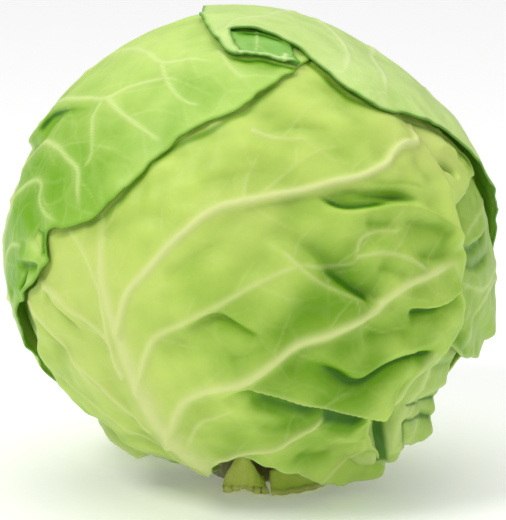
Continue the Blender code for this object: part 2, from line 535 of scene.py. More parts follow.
def add_sheet(name: str, across: int, along: int) -> bpy.types.Object:
    """Adds a flat sheet from -1 to 1, cut into small faces.

    Args:
        name: the new object's name.
        across: how many faces in x.
        along: how many faces in y.

    Returns:
        The sheet.
    """
    deselect_all()
    bpy.ops.mesh.primitive_grid_add(x_subdivisions=across, y_subdivisions=along, size=2.0)
    sheet = bpy.context.object
    sheet.name = sheet.data.name = name
    return sheet


def store(mesh: bpy.types.Mesh, name: str, values: np.ndarray) -> None:
    """Keeps a number for each point on a mesh, for its material."""
    layer = mesh.attributes.new(name, "FLOAT", "POINT")
    layer.data.foreach_set("value", np.ascontiguousarray(values, np.float32))


def thicken(piece: bpy.types.Object, thickness: float) -> None:
    """Gives a sheet its thickness on its inner side."""
    deselect_all()
    bpy.context.view_layer.objects.active = piece
    piece.select_set(True)
    wall = piece.modifiers.new("thickness", "SOLIDIFY")
    wall.thickness = thickness
    wall.offset = -1.0
    wall.use_even_offset = False
    bpy.ops.object.modifier_apply(modifier=wall.name)
    bpy.ops.object.shade_smooth()


def dress(piece: bpy.types.Object, material: bpy.types.Material, node: str) -> None:
    """Gives a piece its material and ties it to the frame."""
    piece.data.materials.clear()
    piece.data.materials.append(material)
    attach(piece, ROOT)
    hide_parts(node)
    log.info("%s: %d points, stands for %s", piece.name, len(piece.data.vertices), node)


class Chart:
    """A leaf's own flat map round its middle, with its margin drawn on it as a fine closed line."""

    FINE = 0.0045

    def __init__(self, centre: Place, outline: Outline, uneven: Callable) -> None:
        """Draws the margin.

        Args:
            centre: the leaf's middle.
            outline: the margin's places and how far it lifts at each.
            uneven: gives the margin's small unevenness, in radians, from the way along it in radians.
        """
        self.axis = ways_of([centre])[0]
        self.east = unit(np.cross([0.0, 0.0, 1.0], self.axis))
        self.north = np.cross(self.axis, self.east)
        rows = np.asarray(outline, float)
        b = np.column_stack([ways_of(rows[:, :2]), rows[:, 2]])
        a, c, d = (np.roll(b, shift, axis=0) for shift in (1, -1, -2))
        line = np.stack([curve(a, b, c, d, s) for s in np.arange(8) / 8], axis=1).reshape(-1, 4)
        line = np.vstack([line, line[:1]])
        far = np.concatenate([[0], np.cumsum(np.linalg.norm(np.diff(line[:, :3], axis=0), axis=1))])
        self.length = far[-1]
        self.along = np.linspace(0, self.length, round(self.length / self.FINE), endpoint=False)
        line = np.column_stack([np.interp(self.along, far, column) for column in line.T])
        ways = unit(line[:, :3])
        beside = unit(np.cross(ways, np.roll(ways, -2, axis=0) - np.roll(ways, 2, axis=0)))
        self.rim = unit(ways + beside * uneven(self.along, self.length)[:, None])
        self.lift = line[:, 3]
        self.flat_rim = self.flatten(self.rim)
        self.tree = KDTree(len(self.rim))
        for index, way in enumerate(self.rim):
            self.tree.insert(way, index)
        self.tree.balance()

    def flatten(self, ways: np.ndarray) -> np.ndarray:
        """Where ways lie on the flat map."""
        away = np.arccos(np.clip(ways @ self.axis, -1, 1))
        across = np.stack([ways @ self.east, ways @ self.north], axis=-1)
        return across * (away / np.maximum(np.linalg.norm(across, axis=-1), 1e-9))[:, None]

    def ways(self, flat: np.ndarray) -> np.ndarray:
        """Unit vectors of places on the flat map."""
        away = np.linalg.norm(flat, axis=1)
        across = (flat @ np.stack([self.east, self.north])) / np.maximum(away, 1e-9)[:, None]
        return np.cos(away)[:, None] * self.axis + np.sin(away)[:, None] * across

    def within(self, xs: np.ndarray, ys: np.ndarray) -> np.ndarray:
        """Which points of an even grid lie inside the margin, one row for each y."""
        start, end = self.flat_rim, np.roll(self.flat_rim, -1, axis=0)
        rows = []
        for y in ys:
            crossed = (start[:, 1] > y) != (end[:, 1] > y)
            a, b = start[crossed], end[crossed]
            at = np.sort(a[:, 0] + (y - a[:, 1]) / (b[:, 1] - a[:, 1]) * (b[:, 0] - a[:, 0]))
            rows.append(np.searchsorted(at, xs) % 2 == 1)
        return np.array(rows)

    def nearest(self, ways: np.ndarray) -> tuple[np.ndarray, np.ndarray]:
        """The number of the nearest point of the margin, and how far off it is in radians."""
        found = [self.tree.find(way)[1:] for way in ways]
        return np.array([index for index, _ in found]), np.array([apart for _, apart in found])


@dataclass(frozen=True)
class Ruffle:
    """Waves along a leaf's margin, in mm: height, length, how far in they reach, and small unevenness."""

    height: float = 0.5
    length: float = 24.0
    depth: float = 9.0
    nibble: float = 0.45

    def waves(
        self, along: np.ndarray, total: float, parts: Sequence[Place], rng: np.random.Generator
    ) -> np.ndarray:
        """A sum of waves that closes on itself.

        Args:
            along: the way along the margin.
            total: the margin's whole length, in the same measure.
            parts: for each wave, how many times shorter it is than the ruffle's own and how high.
            rng: the leaf's own random numbers.

        Returns:
            The height at each place, where the first wave's is 1.
        """
        found = np.zeros_like(along)
        for times, size in parts:
            count = max(1, round(total * RADIUS / self.length * times))
            found += size * np.sin(math.tau * count * along / total + rng.uniform(0, math.tau))
        return found


# How far in the rim's tint reaches in mm, the share of a vein's length over which its tip fades, and how pale
# the glow beside a vein is against the vein.
RIM_WIDTH = 0.85
TIP_FADE = 0.12
HALO = 0.32
# How many times shorter than the ruffle's own each wave is, and how high.
RUFFLE_WAVES = ((0.45, 0.8), (1.0, 1.0), (1.7, 0.55), (3.1, 0.25))
EDGE_WAVES = ((0.7, 1.2), (1.3, 0.8), (2.3, 0.45), (4.1, 0.25))
CRUMPLES = 36
# The range that the stored deeper green and painted shade are held to.
DEEP_GREEN_AND_SHADE_RANGE = (-0.3, 2.2)


@dataclass
class Leaf:
    """One wrapper leaf, or a separate part of one.

    outline holds the points of its margin: a longitude, a latitude and how far the edge lifts there.
    level is how far its outer face stands over the heart.
    """

    name: str
    node: str
    slot: str
    finish: LeafFinish
    centre: Place
    outline: Outline
    level: float
    veins: tuple[Vein, ...] = ()
    folds: tuple[Fold, ...] = ()
    washes: tuple[Wash, ...] = ()
    branching: Branching = Branching()
    ruffle: Ruffle = Ruffle()
    base_pale: float = 0.75
    crumple: float = 0.25
    # How much painted shade the crumples' dips get, and painted light their rises.
    mottle: float = 0.35
    thickness: float = 0.75
    spacing: float = 1.0
    rise: float = 22.0
    hollow: float = 3.4
    seed: int = 1

    def build(self, form: Form) -> bpy.types.Object:
        """Makes the leaf's sheet, cuts it along its margin, lays it on the head and thickens it.

        Args:
            form: the round that it is laid over.

        Returns:
            The finished piece.
        """
        rng = np.random.default_rng(self.seed)
        chart = Chart(self.centre, self.outline, lambda along, total: self.uneven(along, total, rng))
        low, high = chart.flat_rim.min(axis=0) - 0.03, chart.flat_rim.max(axis=0) + 0.03
        counts = np.ceil((high - low) * RADIUS / self.spacing).astype(int)
        sheet = add_sheet(self.name, int(counts[0]), int(counts[1]))
        flat = low + (coordinates(sheet.data)[:, :2] + 1) / 2 * (high - low)
        columns, rows = counts[0] + 1, counts[1] + 1
        inside = chart.within(flat[:columns, 0], flat[::columns, 1])
        ring = self.grown(inside) & ~inside
        inside, ring = inside.ravel(), ring.ravel()
        ways = chart.ways(flat)
        used = np.flatnonzero(inside | ring)
        index, apart = np.zeros(len(ways), int), np.zeros(len(ways))
        index[used], apart[used] = chart.nearest(ways[used])
        ways[ring], apart[ring] = chart.rim[index[ring]], 0.0
        margin = apart * RADIUS
        height = self.level + chart.lift[index] * np.clip(1 - margin / self.rise, 0, 1) ** 2
        wave = self.ruffle.waves(chart.along, chart.length, RUFFLE_WAVES, rng)
        wave = np.maximum(wave, -0.8) * self.ruffle.height
        height += wave[index] * np.exp(-((margin / self.ruffle.depth) ** 2))
        slide, deep_green_and_painted_shade = np.zeros_like(ways), np.zeros(len(ways))
        crumples = self.crumples(ways, rng)
        height += crumples
        # Painted shade and light: darker in the crumples' dips and paler on their rises.
        deep_green_and_painted_shade -= crumples * self.mottle
        self.press_folds(ways, form, height, slide, deep_green_and_painted_shade)
        vein, glow = self.raise_veins(ways, form, height, rng)
        height = np.maximum(height, self.level - self.hollow)
        radius = form.radius(ways)[:, None] + (height * MM)[:, None]
        points = np.asarray(form.centre) + ways * radius + slide * MM
        base = ease((-ways[:, 2] - 0.55) / 0.42) * self.base_pale
        for wash in self.washes:
            share = wash.share(ways)
            base += wash.pale * share
            deep_green_and_painted_shade += wash.deep_green_and_painted_shade * share
        store(sheet.data, "vein", vein)
        store(sheet.data, "pale", np.clip(base + glow * (1 - np.clip(base, 0, 1)), 0, 1))
        store(sheet.data, "rim", np.exp(-((margin / RIM_WIDTH) ** 2)))
        store(sheet.data, "deep_green_and_painted_shade", np.clip(deep_green_and_painted_shade, *DEEP_GREEN_AND_SHADE_RANGE))
        sheet.data.vertices.foreach_set("co", points.ravel())
        self.cut(sheet, inside)
        self.face_out(sheet, form)
        thicken(sheet, self.thickness * MM)
        dress(sheet, self.finish.make(), self.node)
        return sheet

    def uneven(self, along: np.ndarray, total: float, rng: np.random.Generator) -> np.ndarray:
        """The margin's small unevenness, in radians."""
        return self.ruffle.waves(along, total, EDGE_WAVES, rng) * self.ruffle.nibble / RADIUS

    def grown(self, inside: np.ndarray) -> np.ndarray:
        """The grid's marked points and those beside them."""
        wide = inside.copy()
        wide[1:] |= inside[:-1]
        wide[:-1] |= inside[1:]
        tall = wide.copy()
        tall[:, 1:] |= wide[:, :-1]
        tall[:, :-1] |= wide[:, 1:]
        return tall

    def cut(self, sheet: bpy.types.Object, inside: np.ndarray) -> None:
        """Deletes what lies outside the margin, and merges points that fell together on it."""
        mesh = sheet.data
        corners = np.empty(len(mesh.polygons) * 4, np.int32)
        mesh.polygons.foreach_get("vertices", corners)
        outside = ~inside[corners.reshape(-1, 4)].any(axis=1)
        bpy.context.tool_settings.mesh_select_mode = (False, False, True)
        mesh.polygons.foreach_set("select", outside)
        bpy.ops.object.mode_set(mode="EDIT")
        bpy.ops.mesh.delete(type="FACE")
        bpy.ops.mesh.select_all(action="SELECT")
        bpy.ops.mesh.remove_doubles(threshold=MERGE_DISTANCE)
        bpy.ops.mesh.dissolve_degenerate(threshold=MERGE_DISTANCE / 2)
        bpy.ops.mesh.vertices_smooth(factor=0.4, repeat=1)
        bpy.ops.object.mode_set(mode="OBJECT")

    def face_out(self, sheet: bpy.types.Object, form: Form) -> None:
        """Turns the sheet's faces outwards where they point in."""
        sheet.data.update()
        face = sheet.data.polygons[len(sheet.data.polygons) // 2]
        outwards = np.asarray(face.center) - np.asarray(form.centre)
        if outwards @ np.asarray(face.normal) < 0:
            sheet.data.flip_normals()

    def crumples(self, ways: np.ndarray, rng: np.random.Generator) -> np.ndarray:
        """The leaf's own soft unevenness between its veins, in mm."""
        total = np.zeros(len(ways))
        for wave in range(CRUMPLES):
            length = 7.0 + 22.0 * (wave / CRUMPLES) ** 1.5
            heading = unit(rng.normal(size=3)) * math.tau * RADIUS / length
            total += np.sin(ways @ heading + rng.uniform(0, math.tau)) * length / 29.0
        return total * self.crumple / 3.0

    def press_folds(
        self, ways: np.ndarray, form: Form, height: np.ndarray, slide: np.ndarray, deep_green_and_painted_shade: np.ndarray
    ) -> None:
        """Adds every fold to the heights, the sideways slides and the deeper green and painted shade, in
        place.
        """
        radius = form.half_width / MM
        for fold in self.folds:
            seen = trace(ways, smooth_path(ways_of(fold.path)), max(fold.left, fold.right) * 3, radius)
            width = np.where(seen.left, fold.left, fold.right)
            grown = ease(seen.along / fold.fade[0]) * ease((1 - seen.along) / fold.fade[1])
            crest = grown * np.exp(-((seen.apart / width) ** fold.power))
            height[seen.near] += fold.height * crest
            slide[seen.near] += seen.leftward * (fold.tuck * crest)[:, None]
            deep_green_and_painted_shade[seen.near] += fold.deep_green_and_painted_shade * crest

    def raise_veins(
        self, ways: np.ndarray, form: Form, height: np.ndarray, rng: np.random.Generator
    ) -> tuple[np.ndarray, np.ndarray]:
        """Raises the veins and their branches, and tells how pale each point is.

        Args:
            ways: the points' unit vectors.
            form: the head's round.
            height: the points' heights, which are raised in place.
            rng: the leaf's own random numbers.

        Returns:
            The paleness on the veins, and of the softer glow beside them.
        """
        radius = form.half_width / MM
        pale, glow = np.zeros(len(ways)), np.zeros(len(ways))
        for vein in self.veins + self.branches(form, rng):
            path = smooth_path(ways_of(vein.path))
            seen = trace(ways, path, max(vein.width) * 3 + vein.glow * 2, radius)
            tip = ease((1 - seen.along) / TIP_FADE)
            width, bright = between(vein.width, seen.along), between(vein.pale, seen.along)
            line = np.exp(-((seen.apart / width) ** 2)) * tip
            halo = np.exp(-((seen.apart / (width + vein.glow)) ** 2)) * tip
            height[seen.near] += np.maximum(between(vein.height, seen.along) * line, 0)
            pale[seen.near] = np.maximum(pale[seen.near], bright * line)
            glow[seen.near] = np.maximum(glow[seen.near], HALO * bright * halo)
        return pale, glow

    def branches(self, form: Form, rng: np.random.Generator) -> tuple[Vein, ...]:
        """Small veins that leave the main ones on both sides in turn."""
        rule = self.branching
        radius = form.half_width / MM
        found = []
        for vein in self.veins:
            path = smooth_path(ways_of(vein.path))
            lengths = np.linalg.norm(np.diff(path, axis=0), axis=1) * radius
            travelled = np.concatenate([[0], np.cumsum(lengths)])
            side = 1.0
            at = rule.spacing * rng.uniform(0.4, 0.9)
            while at < travelled[-1] - 2:
                k = min(np.searchsorted(travelled, at), len(path) - 2)
                found.append(self.branch(path[k], path[k + 1] - path[k], side, radius, rng))
                side = -side
                at += rule.spacing * rng.uniform(0.35, 0.75)
        return tuple(found)

    def branch(
        self, start: np.ndarray, heading: np.ndarray, side: float, radius: float, rng: np.random.Generator
    ) -> Vein:
        """One small vein that leaves a larger one and bends towards its tip."""
        rule = self.branching
        turn = math.radians(rule.angle * rng.uniform(0.75, 1.25)) * side
        length = rule.length * rng.uniform(0.5, 1.3) / radius
        points = [start]
        heading = unit(heading)
        for stretch in range(4):
            sideways = np.cross(points[-1], heading)
            heading = unit(heading * math.cos(turn) + sideways * math.sin(turn))
            points.append(unit(points[-1] + heading * length / 4))
            turn = math.radians(rng.normal(0, 9)) - side * 0.1
        places = tuple(
            (math.degrees(math.atan2(x, -y)), math.degrees(math.asin(np.clip(z, -1, 1))))
            for x, y, z in points
        )
        return Vein(
            places,
            width=(rule.width, rule.width * 0.6),
            height=(rule.height, rule.height * 0.3),
            pale=(rule.pale, rule.pale * 0.3),
            glow=0.8,
        )


@dataclass
class Heart:
    """The closed heart under the loose leaves, with the edges and veins of its own outermost leaves."""

    name: str
    node: str
    slot: str
    finish: LeafFinish
    folds: tuple[Fold, ...]
    veins: tuple[Vein, ...]
    segments: int = 160
    rings: int = 96
    inset: float = 0.6

    def build(self, form: Form) -> bpy.types.Object:
        """Makes the heart from a ball that is drawn in to the head's round.

        Args:
            form: the head's round.

        Returns:
            The finished piece.
        """
        deselect_all()
        bpy.ops.mesh.primitive_uv_sphere_add(segments=self.segments, ring_count=self.rings, radius=1.0)
        ball = bpy.context.object
        ball.name = ball.data.name = self.name
        ways = unit(coordinates(ball.data))
        leaf = Leaf(
            self.name, self.node, self.slot, self.finish, (0, 0), (), 0.0, self.veins, self.folds, seed=5
        )
        height = np.full(len(ways), -self.inset)
        slide, deep_green_and_painted_shade = np.zeros_like(ways), np.zeros(len(ways))
        leaf.press_folds(ways, form, height, slide, deep_green_and_painted_shade)
        vein, glow = leaf.raise_veins(ways, form, height, np.random.default_rng(leaf.seed))
        height = np.minimum(height, 0.4)
        points = np.asarray(form.centre) + ways * (form.radius(ways) + height * MM)[:, None]
        ball.data.vertices.foreach_set("co", points.ravel())
        store(ball.data, "vein", vein)
        store(ball.data, "pale", np.maximum(glow, ease((-ways[:, 2] - 0.5) / 0.4)))
        store(ball.data, "rim", np.zeros(len(ways)))
        store(ball.data, "deep_green_and_painted_shade", deep_green_and_painted_shade)
        bpy.ops.object.shade_smooth()
        dress(ball, self.finish.make(), self.node)
        return ball


@dataclass
class Stump:
    """The cut stem: a short plug with a flat foot, leaf scars round its side and a ring of fibres."""

    name: str
    node: str
    slot: str
    finish: CutFinish
    edge: float = 0.0011
    scars: int = 7
    scar_depth: float = 0.0004
    inset: float = 0.0006
    taper: float = 0.10

    def build(self) -> bpy.types.Object:
        """Makes the stump in the room its solid takes."""
        low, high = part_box(self.node)
        radius, height = (high.x - low.x) / 2, high.z - low.z
        deselect_all()
        bpy.ops.mesh.primitive_cylinder_add(
            vertices=96, radius=radius, depth=height, location=(0, 0, low.z + height / 2)
        )
        plug = bpy.context.object
        plug.name = plug.data.name = self.name
        bpy.ops.object.mode_set(mode="EDIT")
        bpy.ops.mesh.select_all(action="SELECT")
        bpy.ops.mesh.bevel(offset=self.edge, segments=4, affect="EDGES")
        bpy.ops.mesh.select_all(action="SELECT")
        bpy.ops.mesh.subdivide(number_cuts=1)
        bpy.ops.object.mode_set(mode="OBJECT")
        bpy.ops.object.transform_apply(location=True, rotation=True, scale=True)
        points = coordinates(plug.data)
        away = np.hypot(points[:, 0], points[:, 1])
        turn = np.arctan2(points[:, 1], points[:, 0])
        up = (points[:, 2] - low.z) / height
        side = ease((away / radius - 0.8) / 0.2)
        scar = np.sin(turn * self.scars + up * 5.0) * self.scar_depth + np.sin(turn * 31) * 0.00012
        narrowed = 1 - self.taper * up - side * (self.inset + scar) / radius
        points[:, :2] *= narrowed[:, None]
        plug.data.vertices.foreach_set("co", points.ravel())
        ring = np.exp(-(((away / radius - 0.62) / 0.07) ** 2)) * 0.6
        store(plug.data, "rim", np.clip(side * 0.9 + ring, 0, 1))
        bpy.ops.object.shade_smooth()
        dress(plug, self.finish.make(), self.node)
        return plug


@dataclass
class Stub:
    """The base of a trimmed leaf: a thick curved strip beside the stump, torn across at its outer end.

    span is its width and reach its distance from the stem's middle, each at its inner and outer end. top is
    its height at its ends and at its crest, and keel how much lower its two sides are.
    """

    name: str
    node: str
    slot: str
    finish: CutFinish
    longitude: float
    span: tuple[float, float]
    reach: tuple[float, float]
    top: tuple[float, float]
    keel: float
    seed: int
    parts: int = 48
    crest: float = 0.6
    tears: tuple[Place, ...] = ((2.3, 0.03), (6.1, 0.008), (13, 0.004))

    def build(self) -> bpy.types.Object:
        """Makes the strip from a flat sheet that is bent, torn at its end and thickened."""
        sheet = add_sheet(self.name, self.parts, self.parts)
        flat = coordinates(sheet.data)
        rng = np.random.default_rng(self.seed)
        side, share = flat[:, 0], (flat[:, 1] + 1) / 2
        tear = sum(np.sin(side * turns + rng.uniform(0, math.tau)) * size for turns, size in self.tears)
        share = share * (1 + tear * share)
        away = between(self.reach, share)
        bearing = np.radians(self.longitude - 90) + side * between(self.span, share) / 2 / away
        low, high = self.top
        crest = self.crest
        hump = np.where(share < crest, ease(share / crest), 1 - ease((share - crest) / (1 - crest)))
        level = low + (high - low) * hump * (1 - self.keel * np.abs(side + 0.15) ** 1.1)
        level = np.maximum(level, low * 0.75) + 0.0002 * np.sin(side * 19) * share
        points = np.stack([np.cos(bearing) * away, np.sin(bearing) * away, level], axis=1)
        sheet.data.vertices.foreach_set("co", points.ravel())
        sheet.data.update()
        if sheet.data.polygons[0].normal.z < 0:
            sheet.data.flip_normals()
        edge = np.maximum(np.abs(side) ** 24, np.clip(flat[:, 1], 0, 1) ** 30)
        store(sheet.data, "rim", edge)
        thicken(sheet, self.top[0] * 0.75)
        dress(sheet, self.finish.make(), self.node)
        return sheet


# ---------------------------------------------------------------- this cabbage


class Finish(Enum):
    """The leaves' and the cuts' finishes."""

    FRONT = LeafFinish(
        "front leaf skin", (0.52, 0.72, 0.13), (0.15, 0.34, 0.0), (0.54, 0.65, 0.17), (0.66, 0.74, 0.29),
        edge=(0.46, 0.64, 0.18), net=0.06,
    )
    # The left leaf's dark edge tint is painted shade along its margin.
    LEFT = LeafFinish(
        "left leaf skin", (0.53, 0.75, 0.17), (0.17, 0.40, 0.01), (0.62, 0.80, 0.24), (0.68, 0.83, 0.32),
        edge=(0.17, 0.38, 0.02), net=0.10, cell=62.0,
    )
    CROWN = LeafFinish(
        "crown leaf skin", (0.56, 0.76, 0.24), (0.30, 0.54, 0.06), (0.66, 0.80, 0.34), (0.72, 0.84, 0.42),
        net=0.10,
    )
    TIP = LeafFinish(
        "crown tip inner skin", (0.24, 0.50, 0.08), (0.14, 0.38, 0.02), (0.44, 0.64, 0.2), (0.64, 0.82, 0.34)
    )
    RIGHT = LeafFinish(
        "right leaf skin", (0.33, 0.52, 0.07), (0.13, 0.29, 0.01), (0.50, 0.66, 0.18), (0.54, 0.70, 0.22),
        edge=(0.44, 0.60, 0.18),
    )
    LOWER = LeafFinish(
        "lower leaf skin", (0.38, 0.56, 0.11), (0.12, 0.27, 0.01), (0.50, 0.64, 0.20), (0.52, 0.66, 0.22)
    )
    HEART = LeafFinish(
        "heart skin", (0.40, 0.56, 0.12), (0.25, 0.42, 0.05), (0.50, 0.62, 0.20), (0.60, 0.70, 0.28)
    )
    STUMP = CutFinish("stump flesh", (0.66, 0.66, 0.42), (0.52, 0.56, 0.26), (0.24, 0.17, 0.07))
    STUB = CutFinish("stub flesh", (0.86, 0.92, 0.24), (0.70, 0.84, 0.14), (0.40, 0.42, 0.10))


# Widths, heights and palenesses that side veins share, and a glow.
SIDE = ((1.2, 0.6), (0.6, 0.3), (0.8, 0.6))
BACK_SIDE = ((1.4, 0.6), (0.7, 0.3), (0.8, 0.5))
BROAD_SIDE = ((1.5, 0.6), (0.7, 0.3), (0.8, 0.5))
SLIM_SIDE = ((1.0, 0.6), (0.5, 0.3), (0.8, 0.6), 1.5)

# The head's centre lies this share of the heart's height up, and its sides are drawn in by this much.
CENTRE_SHARE = 0.4855
SIDE_INSET = 0.0020
HEAD_DENTS = (
    Dent((92, 50), -5.0, 27), Dent((-90, 18), -2.5, 14), Dent((62, 62), -2.0, 22), Dent((-104, 50), -1.4, 22),
    Dent((93, 14), -1.2, 15),
)

FRONT_VEINS = (
    Vein(((-15, -79), (-17, -64), (-20, -50), (-25, -36), (-28, -24), (-30, -15), (-32, -6), (-34, 1),
        (-35, 8), (-38, 18)), (8.0, 0.9), (1.7, 0.5), (0.95, 0.7), 7.0),
    Vein(((-31, -9), (-28, 0), (-23, 6), (-16, 14), (-8, 20), (2, 22.4), (11.6, 24), (19.2, 25.3),
        (27.3, 26.2), (35.4, 28.3), (39.2, 30.6), (42.5, 32), (46.1, 32.6), (49.4, 32.4), (51.6, 33.6),
        (52.8, 35.4), (55, 38.2), (57, 41)), (1.4, 1.0), (1.6, 1.7), (0.85, 1.3), 3.0),
    Vein(((-29, -24), (-25.5, -15.9), (-22, -9.5), (-16, -5.8), (-10, -2), (-4.6, 0.8), (1.8, 4.3),
        (9.3, 7.4), (16, 7), (21, 7.1), (23.6, 7.8), (23.8, 10.5), (25, 13)), (1.5, 0.5), (1.3, 0.0),
        (0.75, 0.3), 3.0),
    Vein(((-27, -42), (-18.5, -28), (-14, -23.5), (-8.8, -20.4), (-2.4, -17.4), (5.5, -12.6), (10.5, -9.4),
        (16, -7.6), (22, -5.8), (27.8, -3.4), (32, -0.6), (36, 1.2), (41, 2.4), (46, 3.4), (55, 5.0)),
        (1.7, 1.1), (1.8, 1.5), (0.8, 0.9), 3.0),
    Vein(((-24, -47), (-15, -33.4), (-9.6, -29.8), (-4, -27)), (1.3, 0.6), (0.8, 0.3), (0.6, 0.4)),
    Vein(((-33, -21), (-33.7, -14), (-34.3, -8), (-34.9, -0.8), (-37.4, 4.4), (-40.7, 8.8), (-47, 13)),
        (0.9, 0.6)),
    Vein(((-34.4, -4), (-34.7, 4.8), (-35.7, 12), (-37, 19)), (0.8, 0.5), (0.4, 0.2), (0.4, 0.3)),
    Vein(((-32, -20), (-34.5, -11.5), (-38, -8.1), (-43.9, -5), (-48.2, -2.1), (-56, -0.5)), (1.0, 0.7),
        (0.9, 0.6), (0.7, 0.6)),
    Vein(((-31, -37), (-38.8, -27), (-42.7, -22), (-47, -19), (-50.6, -15.3), (-56, -11.7), (-61, -8.2)),
        (1.1, 0.7), (0.9, 0.6), (0.7, 0.6)),
    Vein(((-29, -52), (-40, -40), (-50, -31), (-61, -24)), (1.1, 0.6), (0.7, 0.4), (0.55, 0.4)),
    Vein(((2, 23), (10, 29), (18, 33), (26, 34)), (0.6, 0.4), (0.3, 0.2), (0.3, 0.15)),
    Vein(((-2, 21.5), (-1, 27), (2, 33)), (0.6, 0.4), (0.3, 0.2), (0.4, 0.15)),
    Vein(((24, 10), (25.2, 12.6), (28.7, 13.7), (33.1, 13.4), (37, 13.6)), (0.6, 0.5), (0.4, 0.2), (0.5, 0.3),
        1.2),
    Vein(((24, 8.7), (29.4, 8.9), (34.6, 7.6), (39.4, 5.3), (43, 3)), (0.7, 0.6), (0.4, 0.3), (0.5, 0.5),
        1.5),
    Vein(((7, 10), (10, 7), (14, 3.8), (19, 1.2), (26, -2)), (1.0, 0.7), (0.0, 0.0), (0.5, 0.3), 1.5),
    Vein(((0.5, 38.2), (5, 36.8), (11.5, 36), (16, 36.4)), (0.7, 0.5), (0.4, 0.2), (0.75, 0.3), 1.2),
    Vein(((-55, -1), (-47.5, -3), (-42.5, -5.5), (-37.5, -8.5), (-34, -13)), (0.9, 0.6), (0.7, 0.4),
        (0.7, 0.5), 1.5),
    Vein(((-61.5, -6.8), (-56, -11), (-50.5, -14.6), (-48.3, -18.3), (-40, -28)), (0.9, 0.7), (0.8, 0.5),
        (0.7, 0.5), 1.5),
    Vein(((-8, -19.4), (2, -19.6), (8, -21.2), (14, -23.2), (24, -27), (33, -29.6)), (0.8, 0.8), (0.0, 0.0),
        (0.2, 0.5), 1.0),
    Vein(((48, -17), (44.4, -20), (42.6, -24), (41, -28), (37, -30.4)), (1.0, 1.0), (0.6, 0.6), (0.5, 0.6),
        1.5),
    Vein(((-14, -52), (-10, -47), (-0.2, -43.3), (7.5, -42.6), (12.4, -39.1), (17.6, -35), (21.9, -30.5)),
        (1.5, 0.8), (1.2, 0.7), (0.85, 0.6)),
    Vein(((32, -58), (37, -55), (41, -51), (40, -46), (37, -41)), (1.0, 0.6), (0.8, 0.4), (0.55, 0.3), 2.0),
)

